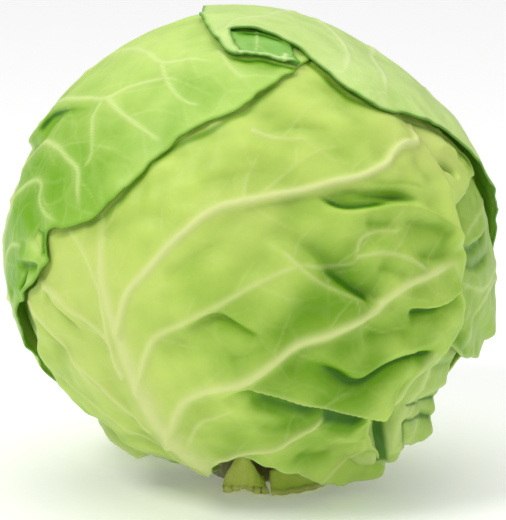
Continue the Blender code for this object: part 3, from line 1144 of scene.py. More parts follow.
FRONT_FOLDS = (
    # The long pleat across the lower front: a crest that hangs over the lobe below it, with painted shade in
    # the valley under it.
    Fold(((-14, -27), (-6, -21.6), (-1.5, -19.4), (2.5, -19.8), (8, -21.4), (13.7, -23.2), (18.7, -25),
        (24.6, -27), (31, -28.8), (38, -30.4)), 4.2, 12.0, 1.2, -2.2, fade=(0.4, 0.02)),
    Fold(((-8, -24.6), (-1.5, -22), (2.5, -22.4), (8, -24.2), (13.7, -26.2), (24, -30.2), (34, -33.6)), -2.8,
        1.2, 5.0, power=1.3, deep_green_and_painted_shade=1.0, fade=(0.25, 0.05)),
    # The deep crease above it, with painted shade along it.
    Fold(((9, -10), (13, -10.8), (18, -13), (23, -15.8), (27, -16.6), (30.6, -14.6), (35, -12.8), (41, -12.6),
        (50, -13.4)), 2.4, 5.0, 0.9, -1.2, fade=(0.35, 0.2)),
    Fold(((10, -12.5), (15, -14.5), (19.5, -17), (23.5, -19.5), (27, -20), (30, -19), (35, -16.8), (40, -16),
        (50, -17)), -3.4, 0.9, 3.4, power=1.3, deep_green_and_painted_shade=0.9, fade=(0.3, 0.15)),
    Fold(((14, -13.6), (19.5, -16.4), (23.5, -19.2), (27, -20.2), (30.5, -19), (35, -16.9), (40, -16),
        (48, -16.6)), -0.4, 0.8, 1.0, power=2.2, deep_green_and_painted_shade=3.0, fade=(0.3, 0.12)),
    # The short crease at the right margin, with painted shade in it.
    Fold(((36, -3.2), (41.7, -3.6), (46.6, -3.7), (51, -2.6), (54, -1)), 2.2, 5.0, 0.9, -1.4,
        fade=(0.3, 0.05)),
    Fold(((37, -5), (41.7, -5.4), (46.6, -5.5), (50.7, -4.6), (54, -3)), -2.8, 0.9, 3.4, power=1.3, deep_green_and_painted_shade=0.6,
        fade=(0.15, 0.1)),
    Fold(((37, -5), (41.7, -5.4), (46.6, -5.5), (51, -4.4)), 0.0, 0.7, 1.0, power=2.0, deep_green_and_painted_shade=1.7,
        fade=(0.1, 0.4)),
    # The slanting ridge in the middle, steep on its upper side, with painted shade in the valley above it.
    Fold(((2, 14), (5.8, 11), (9.5, 7.4), (13.9, 3.6), (18.4, 1), (22.3, -1), (26, -2.6), (30, -4)), 3.2, 1.5,
        15.0, 1.0, fade=(0.2, 0.25)),
    Fold(((6, 15), (10.8, 12.3), (14.7, 9.8), (19.1, 5.4), (23, 1.6), (27.2, -0.9), (31, -1.4)), -3.4, 5.5,
        1.3, deep_green_and_painted_shade=0.45, fade=(0.45, 0.12)),
    Fold(((13, 8.6), (18, 4.6), (22, 1.6), (27, -1.6)), 0.0, 1.6, 1.0, power=1.8, deep_green_and_painted_shade=1.1, fade=(0.3, 0.1)),
    # The folds between the two large veins on the right, with painted shade in their valleys and in the
    # pocket at the margin.
    Fold(((15, 19.6), (18.3, 18.8), (23, 17.8), (28.2, 18), (35.2, 18.4), (41.6, 16.9), (47.9, 13.6),
        (52.4, 10), (54, 6)), 2.8, 1.6, 4.0, 0.6, fade=(0.2, 0.1)),
    Fold(((15, 23.4), (19.7, 20.8), (23.3, 19.8), (29.7, 20), (36, 20.2), (42, 19)), -2.4, 3.0, 1.0,
        deep_green_and_painted_shade=0.6),
    Fold(((16, 22.6), (19.7, 20.6), (23.3, 19.5), (29.7, 19.5), (34, 20)), 0.0, 1.1, 0.8, power=2.0,
        deep_green_and_painted_shade=1.7),
    Fold(((24, 22), (31, 21.4), (38, 20.4), (44, 18.8)), -0.8, 0.9, 0.7, power=2.0, deep_green_and_painted_shade=0.8),
    Fold(((28, 24.6), (35, 24), (42, 23), (48, 20.2)), -0.8, 1.2, 0.8, power=1.8, deep_green_and_painted_shade=0.35),
    Fold(((19, 24), (26.5, 22.8), (37.2, 21.6), (45, 18.6)), -0.9, 0.8, 1.6, power=1.4, deep_green_and_painted_shade=0.55),
    Fold(((25, 24.2), (34, 23.8), (44, 21.6), (50, 17)), 0.9, 1.4, 1.4, power=1.4),
    Fold(((35, 16), (38.5, 15), (42.8, 14), (47.5, 12.2), (51, 9.6)), -2.2, 1.2, 4.5, power=1.2, deep_green_and_painted_shade=0.45,
        fade=(0.3, 0.1)),
    Fold(((24, 9.6), (29.4, 9.4), (34.6, 8), (39.4, 5.8), (44, 3.4)), 1.8, 1.4, 5.0, 0.4),
    Fold(((38, 8.8), (42, 7), (46, 6), (51, 6.6)), -1.4, 3.0, 1.6, deep_green_and_painted_shade=0.3, fade=(0.4, 0.2)),
    Fold(((25, 16), (29, 15.4), (35, 14.8)), -1.2, 2.0, 1.4, deep_green_and_painted_shade=0.35),
    Fold(((28, 6.4), (33, 4.6), (37, 2.6)), -1.4, 2.4, 2.0, deep_green_and_painted_shade=0.4),
    Fold(((52, 36), (53, 28), (53.6, 21), (53.4, 12), (54, 6)), 2.0, 2.0, 8.0),
    Fold(((55.4, 25), (57.5, 25.6), (60, 24.4), (61.6, 21.5)), -4.2, 1.8, 1.6, power=1.5, deep_green_and_painted_shade=1.8),
    Fold(((57, 29), (63, 29.5), (69, 26.5)), 1.8, 3.0, 2.4),
    Fold(((46, 30), (47.6, 26), (50, 21)), -1.0, 2.0, 2.0, deep_green_and_painted_shade=0.25),
    # The bent crease left of the middle, and the soft ones round it, with painted shade in their valleys.
    Fold(((-16, -8), (-13.7, -5), (-7.3, -1.6), (-0.8, -5.3), (4, -8)), 1.6, 5.0, 0.9, -0.8, fade=(0.4, 0.4)),
    Fold(((-16, -9.2), (-13.4, -6.2), (-7.3, -2.8), (-0.6, -6.4), (4, -9)), -1.6, 0.9, 3.0, power=1.4,
        deep_green_and_painted_shade=0.4, fade=(0.3, 0.3)),
    Fold(((-7.6, -2.4), (-4, -4), (-0.6, -6), (2.4, -8)), 0.0, 0.7, 0.9, power=2.0, deep_green_and_painted_shade=0.7,
        fade=(0.2, 0.4)),
    Fold(((-20, 4), (-12, 10), (-4, 14)), -1.2, 2.0, 6.0, deep_green_and_painted_shade=0.15),
    Fold(((-9, 16.4), (-4, 19), (8, 21.7), (22, 22.8), (32, 24.6)), -1.1, 0.9, 4.0, power=1.5, deep_green_and_painted_shade=0.3),
    Fold(((-12, -20), (-2, -15.4), (8, -9.8), (18, -6), (28, -2.6)), 0.9, 6.0, 6.0),
    Fold(((-6, -21), (2, -17.6), (12, -12)), -1.0, 1.5, 5.0, deep_green_and_painted_shade=0.15),
    Fold(((0, -11), (12, -5), (24, -3)), -1.4, 6.0, 6.0, deep_green_and_painted_shade=0.1),
    Fold(((24, -9), (32, -8.6), (40, -9.6)), -1.4, 3.0, 3.0, deep_green_and_painted_shade=0.35),
    Fold(((-22, -14), (-14, -9), (-6, -5)), -1.0, 3.0, 6.0, deep_green_and_painted_shade=0.1),
    Fold(((-6, -13), (0, -11), (5, -8.4)), -0.8, 1.6, 2.4, deep_green_and_painted_shade=0.2),
    Fold(((-55, -1.4), (-49, -4.4), (-44.2, -7.2), (-40.6, -11)), 1.4, 4.0, 0.9, -0.6, fade=(0.1, 0.4)),
    Fold(((-55, -2.6), (-49, -5.8), (-44.2, -8.7), (-40.6, -12.6)), -1.4, 0.8, 3.0, power=1.4, deep_green_and_painted_shade=0.7,
        fade=(0.1, 0.4)),
    Fold(((-60, -10), (-53, -14.4), (-47, -19)), -1.2, 1.0, 3.0, power=1.4, deep_green_and_painted_shade=0.45, fade=(0.1, 0.4)),
    Fold(((4, 38), (14, 39.4), (26, 37.6)), -0.9, 1.4, 3.0, deep_green_and_painted_shade=0.25),
    Fold(((-14, 25), (-4, 28), (6, 28.6)), -0.7, 1.6, 4.0, deep_green_and_painted_shade=0.15),
    # The lobe's own folds, with painted shade in their valleys and under the pleat.
    Fold(((19, -30.6), (26, -33), (35, -35.6)), -2.4, 3.0, 3.4, deep_green_and_painted_shade=2.4),
    Fold(((-2, -24), (4, -26), (12, -28.6), (19, -31.4)), -1.4, 3.0, 3.4, deep_green_and_painted_shade=0.9),
    Fold(((14, -46), (22, -49), (32, -49)), -1.6, 4.0, 4.0, deep_green_and_painted_shade=0.55),
    Fold(((22, -39), (29, -39.5), (37, -41.5)), 1.6, 3.0, 3.0),
    Fold(((0, -34), (8, -35), (16, -32)), -1.4, 5.0, 4.0, deep_green_and_painted_shade=0.3),
    Fold(((-4, -25), (-9, -30), (-14, -35), (-17, -42)), 1.2, 1.4, 6.0, 0.3, fade=(0.1, 0.5)),
    # The broad base of the midrib, and the hollow at its left, with a little painted shade in the hollow.
    Fold(((-16, -76), (-18, -62), (-22, -50), (-25, -40), (-28, -28), (-30, -18)), 2.4, 10.0, 9.0, power=2.2,
        fade=(0.4, 0.6)),
    Fold(((-32, -60), (-34, -50), (-35, -41), (-34, -30), (-34, -20)), -1.3, 3.0, 1.4, power=1.5, deep_green_and_painted_shade=0.15,
        fade=(0.1, 0.5)),
    # The shade along the edges of the leaves that lie over this one.
    Fold(((-53, 9.8), (-49.5, 10.4), (-44.6, 11.9), (-40.4, 14.2), (-36.4, 16.2), (-33, 19.3), (-30.2, 23),
        (-27.8, 26.2), (-25.6, 28.7), (-22.4, 31.9), (-19, 34.7), (-12.8, 37.5), (-7.2, 40.5), (-2.2, 42.9),
        (2.4, 47.2), (6, 49.2), (11, 51.6), (15, 53)), 0.0, 1.0, 1.1, power=1.8, deep_green_and_painted_shade=1.1, fade=(0.1, 0.1)),
    Fold(((24, 61), (26.4, 58.6), (31.4, 52), (35.4, 46.6), (44, 41.4), (56, 37.4), (67, 32.2), (74, 24),
        (78, 17.6)), 0.0, 1.1, 1.1, power=1.8, deep_green_and_painted_shade=1.35, fade=(0.05, 0.05)),
)

# Paler places round the midrib and over the left and upper front. The darker ones deepen the green of the
# right half and paint shade on it, under the pleat and round the midrib's base beside the stub.
FRONT_WASHES = (
    Wash((-50, 0), 26, pale=0.5), Wash((-34, -26), 17, pale=0.3), Wash((-18, -60), 12, pale=0.4),
    Wash((0, 17), 12, pale=0.35), Wash((8, 44), 22, pale=0.2), Wash((-62, -26), 20, deep_green_and_painted_shade=0.15),
    Wash((56, 32), 13, pale=0.9), Wash((32, 17), 12, deep_green_and_painted_shade=0.2), Wash((50, 8), 9, deep_green_and_painted_shade=0.15),
    Wash((18, -3), 10, deep_green_and_painted_shade=0.55), Wash((40, -14), 16, deep_green_and_painted_shade=0.25), Wash((-2, -11), 9, deep_green_and_painted_shade=0.25),
    Wash((16, -16), 12, deep_green_and_painted_shade=0.25), Wash((-5, 1), 12, deep_green_and_painted_shade=0.25), Wash((14, -34), 11, deep_green_and_painted_shade=0.4),
    Wash((32, -52), 14, deep_green_and_painted_shade=0.2), Wash((-2, 30), 12, deep_green_and_painted_shade=0.2), Wash((-20, -35), 8, deep_green_and_painted_shade=0.1),
    Wash((14, -2), 22, deep_green_and_painted_shade=0.16), Wash((44, -10), 12, deep_green_and_painted_shade=0.15), Wash((16, 10), 9, deep_green_and_painted_shade=0.25),
    Wash((24, -24), 10, deep_green_and_painted_shade=0.3), Wash((10, 18.5), 6, deep_green_and_painted_shade=0.2), Wash((-5, -46), 5, deep_green_and_painted_shade=0.6),
    Wash((-14, -45), 13, deep_green_and_painted_shade=0.3),
)

# Broad darker places over the left leaf's lower and left parts, and a small paler one in the pocket near its
# margin.
LEFT_WASHES = (
    Wash((-45, 27), 17, deep_green_and_painted_shade=0.55), Wash((-66, 20), 18, deep_green_and_painted_shade=0.45), Wash((-24, 42), 12, deep_green_and_painted_shade=0.35),
    Wash((-76, -4), 20, deep_green_and_painted_shade=0.7), Wash((5, 56), 12, deep_green_and_painted_shade=0.2), Wash((-60, 52), 20, pale=0.2),
    Wash((-90, 30), 14, deep_green_and_painted_shade=0.5), Wash((-55.4, 7.6), 2.4, pale=0.3, deep_green_and_painted_shade=-0.5),
)

# The left leaf's folds, with painted shade in their valleys, beside the pocket near its margin and under the
# overhang of the long upper fold.
LEFT_FOLDS = (
    Fold(((-57.5, 9.8), (-56, 7.6), (-54.6, 5.2)), -2.6, 1.6, 1.6, power=2.0, fade=(0.2, 0.2)),
    Fold(((-60, 12), (-58.6, 8), (-57, 5)), 0.9, 1.0, 1.4),
    Fold(((-53.2, 10), (-52.8, 7.4), (-51.8, 5.6)), -1.0, 0.8, 0.6, power=2.0, deep_green_and_painted_shade=2.0, fade=(0.1, 0.1)),
    Fold(((-57, 10.6), (-54, 10.2), (-51.6, 10.6)), 0.0, 0.6, 0.6, power=2.0, deep_green_and_painted_shade=1.2),
    Fold(((-66, 3), (-58, 4), (-51, 5)), 1.6, 2.4, 1.0, -0.8),
    Fold(((-66, 1), (-58, 2.4), (-53, 3.4)), -2.0, 1.0, 2.0, power=1.5, deep_green_and_painted_shade=0.9),
    Fold(((-60, 1.6), (-60.4, -1), (-62.4, -4.4)), -1.6, 0.9, 0.9, power=1.8, deep_green_and_painted_shade=1.6),
    Fold(((-72, -4), (-64, -4), (-58, -3)), 1.5, 2.5, 2.5),
    Fold(((-76, -9), (-70, -5), (-66, -2)), -2.0, 1.8, 1.8, deep_green_and_painted_shade=0.4),
    Fold(((-92, 25), (-84, 28), (-78.6, 31.4), (-76, 36), (-68, 39.5), (-56, 42)), 2.2, 7.0, 1.2, -1.6),
    Fold(((-92, 23), (-83, 26), (-74, 29), (-72, 35), (-64, 38)), -1.6, 1.6, 3.5, deep_green_and_painted_shade=0.35),
    Fold(((-30, 56), (-18, 60), (-8, 58)), 0.8, 4.0, 4.0),
    Fold(((-6, 60), (4, 57), (14, 56.5)), -0.8, 3.0, 3.0, deep_green_and_painted_shade=0.2),
    Fold(((-78, 14), (-66, 12), (-60, 13)), 1.0, 5.0, 5.0),
    # The shade along the crown strip that lies over this leaf.
    Fold(((-15, 61.2), (-9, 59.4), (-3, 58.8), (4, 59), (10, 57.6), (15, 56), (20, 55)), 0.0, 0.9, 1.0,
        power=1.8, deep_green_and_painted_shade=1.5, fade=(0.25, 0.1)),
    Fold(((-78, 30.4), (-75.8, 34.4), (-72.7, 36.6), (-64, 38.6), (-54, 40.4)), 0.0, 0.9, 1.2, power=1.8,
        deep_green_and_painted_shade=1.5, fade=(0.1, 0.6)),
    Fold(((-56, 33), (-50, 24), (-50, 16)), 0.7, 5.0, 5.0),
)

LEFT_VEINS = (
    Vein(((-99, -78), (-96, -50), (-92, -25), (-88, 0), (-86, 22), (-92, 42), (-110, 58)), (6.5, 1.2),
        (1.8, 0.5), (1.0, 0.7), 4.0),
    Vein(((-87, 32), (-80, 38), (-71, 40.8), (-60, 42.5), (-50, 43.4), (-44, 47.6), (-34, 51), (-24, 51)),
        (1.3, 0.6), (0.6, 0.3), (0.8, 0.5)),
    Vein(((-50, 43.4), (-43, 41), (-37, 39), (-31, 37), (-24, 34)), (0.9, 0.6), (0.4, 0.3), (0.7, 0.55)),
    Vein(((-96, 46), (-86, 55), (-71, 58.7), (-54, 58.8), (-39, 56), (-26, 57.7), (-13, 57.3)), (1.2, 0.6),
        (0.5, 0.3), (0.75, 0.5)),
    Vein(((-39, 56), (-32, 51.2), (-26.5, 47.7), (-21, 45), (-15, 44)), (0.8, 0.5), (0.4, 0.2), (0.65, 0.45)),
    Vein(((-16, 62), (-7.7, 55.4), (-2.3, 51.6)), (0.8, 0.5), (0.3, 0.2), (0.5, 0.4)),
    Vein(((-87, 12), (-80, 22), (-70.5, 28.8), (-59.5, 29.3), (-51.5, 27.3), (-46.7, 25.3), (-44.7, 21.2),
        (-42, 16)), (1.3, 0.7), (0.6, 0.4), (0.8, 0.6)),
    Vein(((-52, 42), (-51, 38), (-46.3, 32.9), (-44.2, 29.2), (-45.6, 25.5)), (0.7, 0.5), (0.3, 0.2),
        (0.6, 0.45)),
    Vein(((-88, 2), (-76, 14), (-66, 20), (-60, 20.5), (-58, 17), (-54, 14.6), (-47, 13)), (1.1, 0.7),
        (0.5, 0.3), (0.7, 0.5)),
    Vein(((-90, -12), (-80, -3), (-72, 4), (-62, 6)), (1.1, 0.6), (0.5, 0.3), (0.6, 0.5)),
    Vein(((-92, -22), (-84, -16), (-76, -12), (-68, -8)), (1.1, 0.6), (0.5, 0.3), (0.6, 0.5)),
    Vein(((-90, -12), (-108, -2), (-128, 8), (-146, 12)), *BACK_SIDE),
    Vein(((-87, 12), (-104, 26), (-126, 34), (-148, 36)), (1.3, 0.6), (0.7, 0.3), (0.8, 0.5)),
    Vein(((-95, -38), (-112, -32), (-128, -28), (-140, -26)), *BACK_SIDE),
)

CROWN_VEINS = (
    Vein(((176, -78), (174, -50), (171, -20), (168, 10), (166, 36), (158, 58), (130, 76)), (7.0, 1.2),
        (2.0, 0.5), (1.0, 0.7), 4.0),
    Vein(((158, 58), (120, 72), (85, 70), (57.5, 62), (45, 57), (35, 52)), (1.2, 0.6), (0.5, 0.3),
        (0.7, 0.5)),
    Vein(((164, 42), (130, 53), (100, 58), (80, 58.5), (69.6, 56), (57.4, 50), (46.9, 43.8)), (1.3, 0.6),
        (0.6, 0.3), (0.8, 0.55)),
    Vein(((167, 22), (140, 34), (115, 40), (94, 40), (76, 32)), *BACK_SIDE),
    Vein(((169, 2), (146, 12), (122, 16), (100, 10), (86, 7)), *BROAD_SIDE),
    Vein(((171, -16), (150, -8), (128, -8), (108, -16)), *BROAD_SIDE),
    Vein(((173, -38), (154, -32), (136, -36), (121, -43)), *BROAD_SIDE),
    Vein(((161, 52), (196, 62), (236, 64), (256, 60)), (1.3, 0.6), (0.6, 0.3), (0.8, 0.5)),
    Vein(((166, 30), (192, 40), (222, 44), (247, 40)), *BACK_SIDE),
    Vein(((168, 10), (190, 20), (216, 22), (240, 14)), *BROAD_SIDE),
    Vein(((170, -10), (190, -2), (212, -3), (234, -12)), *BROAD_SIDE),
    Vein(((173, -34), (192, -29), (208, -32), (222, -40)), *BROAD_SIDE),
    Vein(((130, 76), (30, 82), (-16, 76), (-14, 66)), (1.0, 0.5), (0.4, 0.2), (0.5, 0.4)),
)

RIGHT_VEINS = (
    Vein(((122, -78), (114, -50), (108, -25), (102, 0), (96, 22), (90, 44)), (6.0, 1.1), (1.7, 0.4),
        (1.0, 0.7), 4.0),
    Vein(((102, -1), (86, -4), (72, -6), (63, -4), (55, -1)), (1.1, 0.6), (0.6, 0.3), (0.8, 0.6), 1.5),
    Vein(((104, -8), (86, -7), (74, -8), (67, -11), (64, -17), (63, -21)), (1.1, 0.6), (0.6, 0.3), (0.8, 0.6),
        1.5),
    Vein(((98, 14), (80, 13), (66, 11), (57, 8)), (1.0, 0.5), (0.5, 0.3), (0.7, 0.5), 1.5),
    Vein(((95, 26), (80, 26), (68, 20), (58, 18)), (1.0, 0.5), (0.5, 0.3), (0.6, 0.5), 1.5),
    Vein(((109, -30), (94, -26), (82, -20)), (1.2, 0.6), (0.6, 0.3), (0.8, 0.6), 1.5),
    Vein(((108, -20), (126, -12), (146, -2)), (1.2, 0.6), (0.6, 0.3), (0.8, 0.5)),
    Vein(((113, -46), (130, -42), (150, -34)), (1.2, 0.6), (0.6, 0.3), (0.8, 0.5)),
)

# The right leaf's folds, with painted shade in their valleys.
RIGHT_FOLDS = (
    Fold(((96, 4), (92, -8), (86, -22)), 4.0, 14.0, 14.0, power=2.0, fade=(0.5, 0.1)),
    Fold(((56, 9), (62, 7.4), (70, 8), (76, 11)), 1.4, 4.0, 1.0, -0.6),
    Fold(((56, 7.4), (62, 5.6), (70, 6.2), (78, 8)), -1.6, 0.9, 4.0, power=1.4, deep_green_and_painted_shade=0.95),
    Fold(((56, 3), (64, 0.4), (72, 0.2), (80, 1.4)), -1.6, 3.0, 0.9, power=1.4, deep_green_and_painted_shade=0.7),
    Fold(((66, -12), (74, -10), (82, -14)), 1.2, 3.0, 4.0),
    Fold(((57, -12), (60, -17), (66, -21)), -1.5, 2.5, 3.0, deep_green_and_painted_shade=0.3),
    Fold(((70, 14), (78, 10), (86, 8)), 1.0, 5.0, 5.0),
)

LOWER_RIGHT_VEINS = (
    Vein(((34, -78), (44, -58), (50, -42), (54, -26), (56, -6)), (4.5, 1.0), (1.4, 0.4), (1.0, 0.7)),
    Vein(((48, -48), (56, -44), (66, -38)), *SLIM_SIDE),
    Vein(((51, -38), (60, -33), (68, -29)), *SLIM_SIDE),
    Vein(((46, -54), (54, -51), (62, -48)), *SLIM_SIDE),
    Vein(((44, -58), (30, -50), (16, -40)), *SLIM_SIDE),
)

# The bands of the lower right leaf's frill, with painted shade lines in the creases between them and a deep
# one beneath the front leaf's lobe.
LOWER_RIGHT_FOLDS = (
    Fold(((46, -23), (56, -24), (68, -24)), -1.2, 2.0, 2.4, deep_green_and_painted_shade=0.5),
    Fold(((48, -29), (58, -30), (70, -31)), 0.9, 2.4, 2.0),
    Fold(((48, -33.8), (58, -35), (71, -35.4)), -0.9, 1.2, 1.2, power=2.0, deep_green_and_painted_shade=1.9, fade=(0.2, 0.02)),
    Fold(((50, -36.6), (59, -37.4), (71, -37.8)), 0.8, 1.4, 1.2, fade=(0.2, 0.02)),
    Fold(((51, -38.8), (60, -39.6), (71, -40)), -0.9, 1.0, 1.0, power=2.0, deep_green_and_painted_shade=1.8, fade=(0.2, 0.02)),
    Fold(((52, -41.4), (60, -42), (71, -42)), 0.8, 1.4, 1.4, fade=(0.2, 0.02)),
    Fold(((47, -35), (49.6, -41), (52, -48)), 1.8, 1.5, 1.8),
    Fold(((52.4, -37), (54, -41), (55.6, -44.6)), -1.2, 0.9, 0.9, power=2.0, deep_green_and_painted_shade=1.7, fade=(0.2, 0.02)),
    Fold(((39, -33), (42.4, -38), (46, -44), (48.6, -48), (52, -52)), -2.4, 3.4, 1.3, power=2.4, deep_green_and_painted_shade=2.6,
        fade=(0.05, 0.05)),
)

LOWER_RIGHT_WASHES = (Wash((60, -36), 13, pale=0.45), Wash((51, -44), 5, pale=0.3))
LOWER_LEFT_VEINS = (
    Vein(((-47, -78), (-58, -55), (-68, -35), (-76, -15), (-80, 5)), (5.0, 1.0), (1.4, 0.4), (1.0, 0.7)),
    Vein(((-56, -60), (-40, -52), (-26, -48), (-16, -42)), *SIDE),
    Vein(((-64, -44), (-52, -36), (-44, -26)), *SIDE),
    Vein(((-66, -40), (-84, -36), (-104, -32)), *SIDE),
    Vein(((-73, -22), (-90, -14), (-108, -8)), *SIDE),
)

# The lower left leaf's folds, with painted shade in their valleys.
LOWER_LEFT_FOLDS = (
    Fold(((-76, -6), (-74, -14), (-70, -22)), -2.0, 1.6, 1.6, deep_green_and_painted_shade=0.4),
    Fold(((-70, -6), (-68, -14), (-66, -20)), 1.6, 1.8, 1.8),
    Fold(((-64, -10), (-64, -18), (-64, -24)), -1.8, 1.5, 1.5, deep_green_and_painted_shade=0.4),
    Fold(((-50, -58), (-56, -52), (-60, -46.5), (-64, -39)), 6.2, 8.0, 6.0, power=2.0, fade=(0.2, 0.5)),
)

HEART_VEINS = tuple(
    Vein(((lon, -70), (lon + 6, -30), (lon + 12, 10), (lon + 22, 50)), (4.0, 1.0), (1.0, 0.3), (1.0, 0.6))
    for lon in range(0, 360, 72)
)
HEART_FOLDS = tuple(
    Fold(((lon, -60), (lon + 20, -20), (lon + 34, 20), (lon + 60, 60)), 0.8, 9.0, 1.2)
    for lon in range(30, 390, 72)
)

FRONT_OUTLINE = (
    (66, 38, 0), (71, 31, 0.5), (74.5, 25, 1.5), (73.5, 20.8, 1.5), (65, 19.2, 0.5), (57, 16.5, 0),
    (53.8, 12.5, 0.5), (54, 9, 1), (55.8, 5.4, 1.5), (54.5, 1, 1), (54.6, -3, 1), (55.8, -8, 1.5),
    (56, -12, 2), (52, -16, 2.5), (46.5, -18.4, 2), (44, -21.2, 2), (42.8, -25, 1.5), (41.4, -29, 1),
    (38.5, -32, 0.6), (34.6, -33.2, 0), (34.8, -35, 0.5), (37, -38.4, 1.5), (40.6, -42.2, 3),
    (46, -46.4, 5.5), (52, -50, 8), (57.6, -53.6, 10), (58, -57.4, 11), (51, -60, 10.5), (38, -59.6, 8.5),
    (22, -55.6, 5.5), (10, -51.6, 3.5), (4, -48.6, 2.5), (-1, -46, 2), (-5, -45.4, 1.5), (-9, -47, 1),
    (-13, -51.5, 0.6), (-20, -59, 0.3), (-30, -68, 0), (-38, -77, 0), (-46, -71, 0), (-44, -62, 0),
    (-53, -48, 0.5), (-60, -36, 1), (-63, -26, 1), (-62.5, -18, 1), (-60.5, -12, 1), (-61.5, -6, 0.5),
    (-58, -1, 0), (-58, 6, 0), (-64, 16, 0), (-64, 32, 0), (-50, 52, 0), (-10, 66, 0), (35, 64, 0),
    (56, 50, 0),
)
LEFT_OUTLINE = (
    (19, 56.4, 0.4), (16.8, 54.1, 0.4), (10.4, 52.1, 0.4), (5.7, 50, 0.4), (1.8, 48, 0.3), (-2.9, 43.8, 0.3),
    (-7.8, 41.4, 0.3), (-14.5, 38.3, 0.3), (-19.6, 35.6, 0.3), (-23.8, 31.5, 0.3), (-27, 27.3, 0.3),
    (-30.3, 23.2, 0.3), (-34.3, 18.8, 0.3), (-38.4, 16.1, 0.3), (-42.2, 14.1, 0.5), (-46.4, 12.2, 0.8),
    (-51.2, 11.2, 1), (-52.4, 8.6, 1.2), (-51.4, 6.6, 1.2), (-50.4, 4.8, 1.2), (-53, 2.4, 1), (-55, 0.6, 0.8),
    (-58.6, -3, 0.8), (-62, -6.4, 0.8), (-67, -9, 0.8), (-72, -15, 0.8), (-80, -22, 0.5), (-90, -30, 0.5),
    (-98, -45, 0.5), (-96, -66, 0), (-92, -76, 0), (-99, -79, 0), (-112, -75, 0), (-126, -62, 0),
    (-138, -42, 0), (-146, -14, 0), (-154, 18, 0), (-172, 46, 0), (140, 68, 0), (70, 72, 0), (34, 63, 0),
)
CROWN_OUTLINE = (
    (-41.9, 73.7, 0.5), (-22.8, 66.8, 0.5), (-14.3, 62, 0.5), (-9, 60.2, 0.5), (-6, 60.0, 0.5),
    (-6.4, 61.6, 0.5), (-8.6, 63.4, 0.5), (-10, 66, 0.5), (-12, 68.4, 0.5), (-14, 69.8, 0.5),
    (-7.7, 70.1, 1.2), (6.7, 69.2, 1.2), (15.6, 67.1, 1), (23.2, 64.1, 0.4), (27.3, 58.8, -0.4),
    (32.1, 52.2, -1), (36.1, 46.9, -1), (44, 41.8, -1), (56.2, 37.8, -0.6), (67.6, 32.6, 0),
    (74.8, 24.3, 0.6), (79.5, 18.3, 0.8), (87, 13, 0.8), (95, 6, 0.8), (102, -4, 0.8), (108, -20, 1),
    (120, -42, 0.5), (136, -62, 0), (152, -76, 0), (176, -79, 0), (198, -76, 0), (212, -60, 0),
    (222, -36, 0.5), (228, -12, 1), (228, 10, 1), (224, 34, 1), (216, 50, 1), (208, 61, 1), (212, 71, 1),
    (262, 78, 1),
)
TIP_OUTLINE = (
    (-12, 61.4, 0), (-6, 59.9, 0), (2, 59.8, 0), (8, 59.1, 0), (13, 57.7, 0.3), (18.6, 56.5, 0.6),
    (20.4, 57.4, 0.6), (19, 59.6, 0.3), (20.5, 62, 0), (22, 64.6, 0), (20, 68, 0), (8, 72, 0), (-6, 73, 0),
    (-16, 71, 0), (-15, 66, 0),
)
TIP_VEINS = (
    Vein(((4, 72), (3, 66), (2, 61)), (0.6, 0.4), (0.3, 0.2), (0.4, 0.3), 1.0),
    Vein(((-8, 60.6), (-3, 60.4), (2, 60.4), (8, 59.7), (13, 58.4), (19, 57.2)), (0.9, 1.0), (0.5, 0.6),
        (1.0, 1.0), 0.6),
    Vein(((13, 58.4), (15, 59.6), (16, 61)), (0.9, 0.8), (0.5, 0.4), (0.9, 0.6), 0.6),
)
# Painted shade along the crown leaf's edge above the tip and along the strip at its left, and a little in a
# shallow valley.
TIP_FOLDS = (
    Fold(((-12, 68.6), (-4, 69.4), (6, 68.6), (14, 66.6), (21, 63.8)), 0.0, 1.2, 1.0, power=1.8, deep_green_and_painted_shade=2.0),
    Fold(((-10.5, 67), (-8.6, 64), (-6.4, 62.4)), 0.0, 0.7, 0.9, power=1.8, deep_green_and_painted_shade=1.4),
    Fold(((-4, 66), (4, 63), (14, 62)), -0.6, 1.6, 1.6, deep_green_and_painted_shade=0.2),
)
RIGHT_OUTLINE = (
    (54, -15, 0), (61, -20, 4.5), (67, -21.5, 4.5), (73.5, -22.4, 5), (78, -22.6, 5.5), (82.5, -21.6, 5),
    (87, -21.4, 4.5), (93, -27, 3.5), (98, -44, 2), (102, -62, 0), (112, -76, 0), (124, -79, 0),
    (140, -74, 0), (152, -55, -1), (160, -32, -1), (162, -6, -1), (156, 22, -1), (136, 44, -1), (100, 50, -1),
    (76, 42, -2), (60, 32, -2.4), (51, 14, -2.4), (49, -4, -2.2),
)
LOWER_RIGHT_OUTLINE = (
    (64, -20, 0.5), (67, -27, 1.5), (69, -33, 2.5), (70, -38, 5.5), (70, -42, 9.5), (66.5, -44.6, 11),
    (61, -44.8, 10.5), (56.6, -44, 9.5), (54.6, -45.4, 10.5), (53.8, -48.2, 13), (51, -49.6, 13),
    (49, -52, 9), (47, -56, 4), (44, -63, 1), (40, -72, 0), (32, -79, 0), (18, -70, -1), (14, -52, -1.4),
    (26, -36, -1.6), (36, -20, -1.6), (50, -8, -1.6), (66, -6, -1.4), (69, -12, -0.5),
)
LOWER_LEFT_OUTLINE = (
    (-20, -46, 0), (-24, -60, 0.5), (-34, -66, 1.5), (-50, -64, 3), (-66, -60, 4), (-82, -54, 4.5),
    (-98, -47, 3), (-110, -34, 1), (-116, -15, 0), (-106, 8, 0), (-80, 22, 0), (-60, 12, -0.5),
    (-46, -6, -0.5), (-32, -26, -0.5),
)


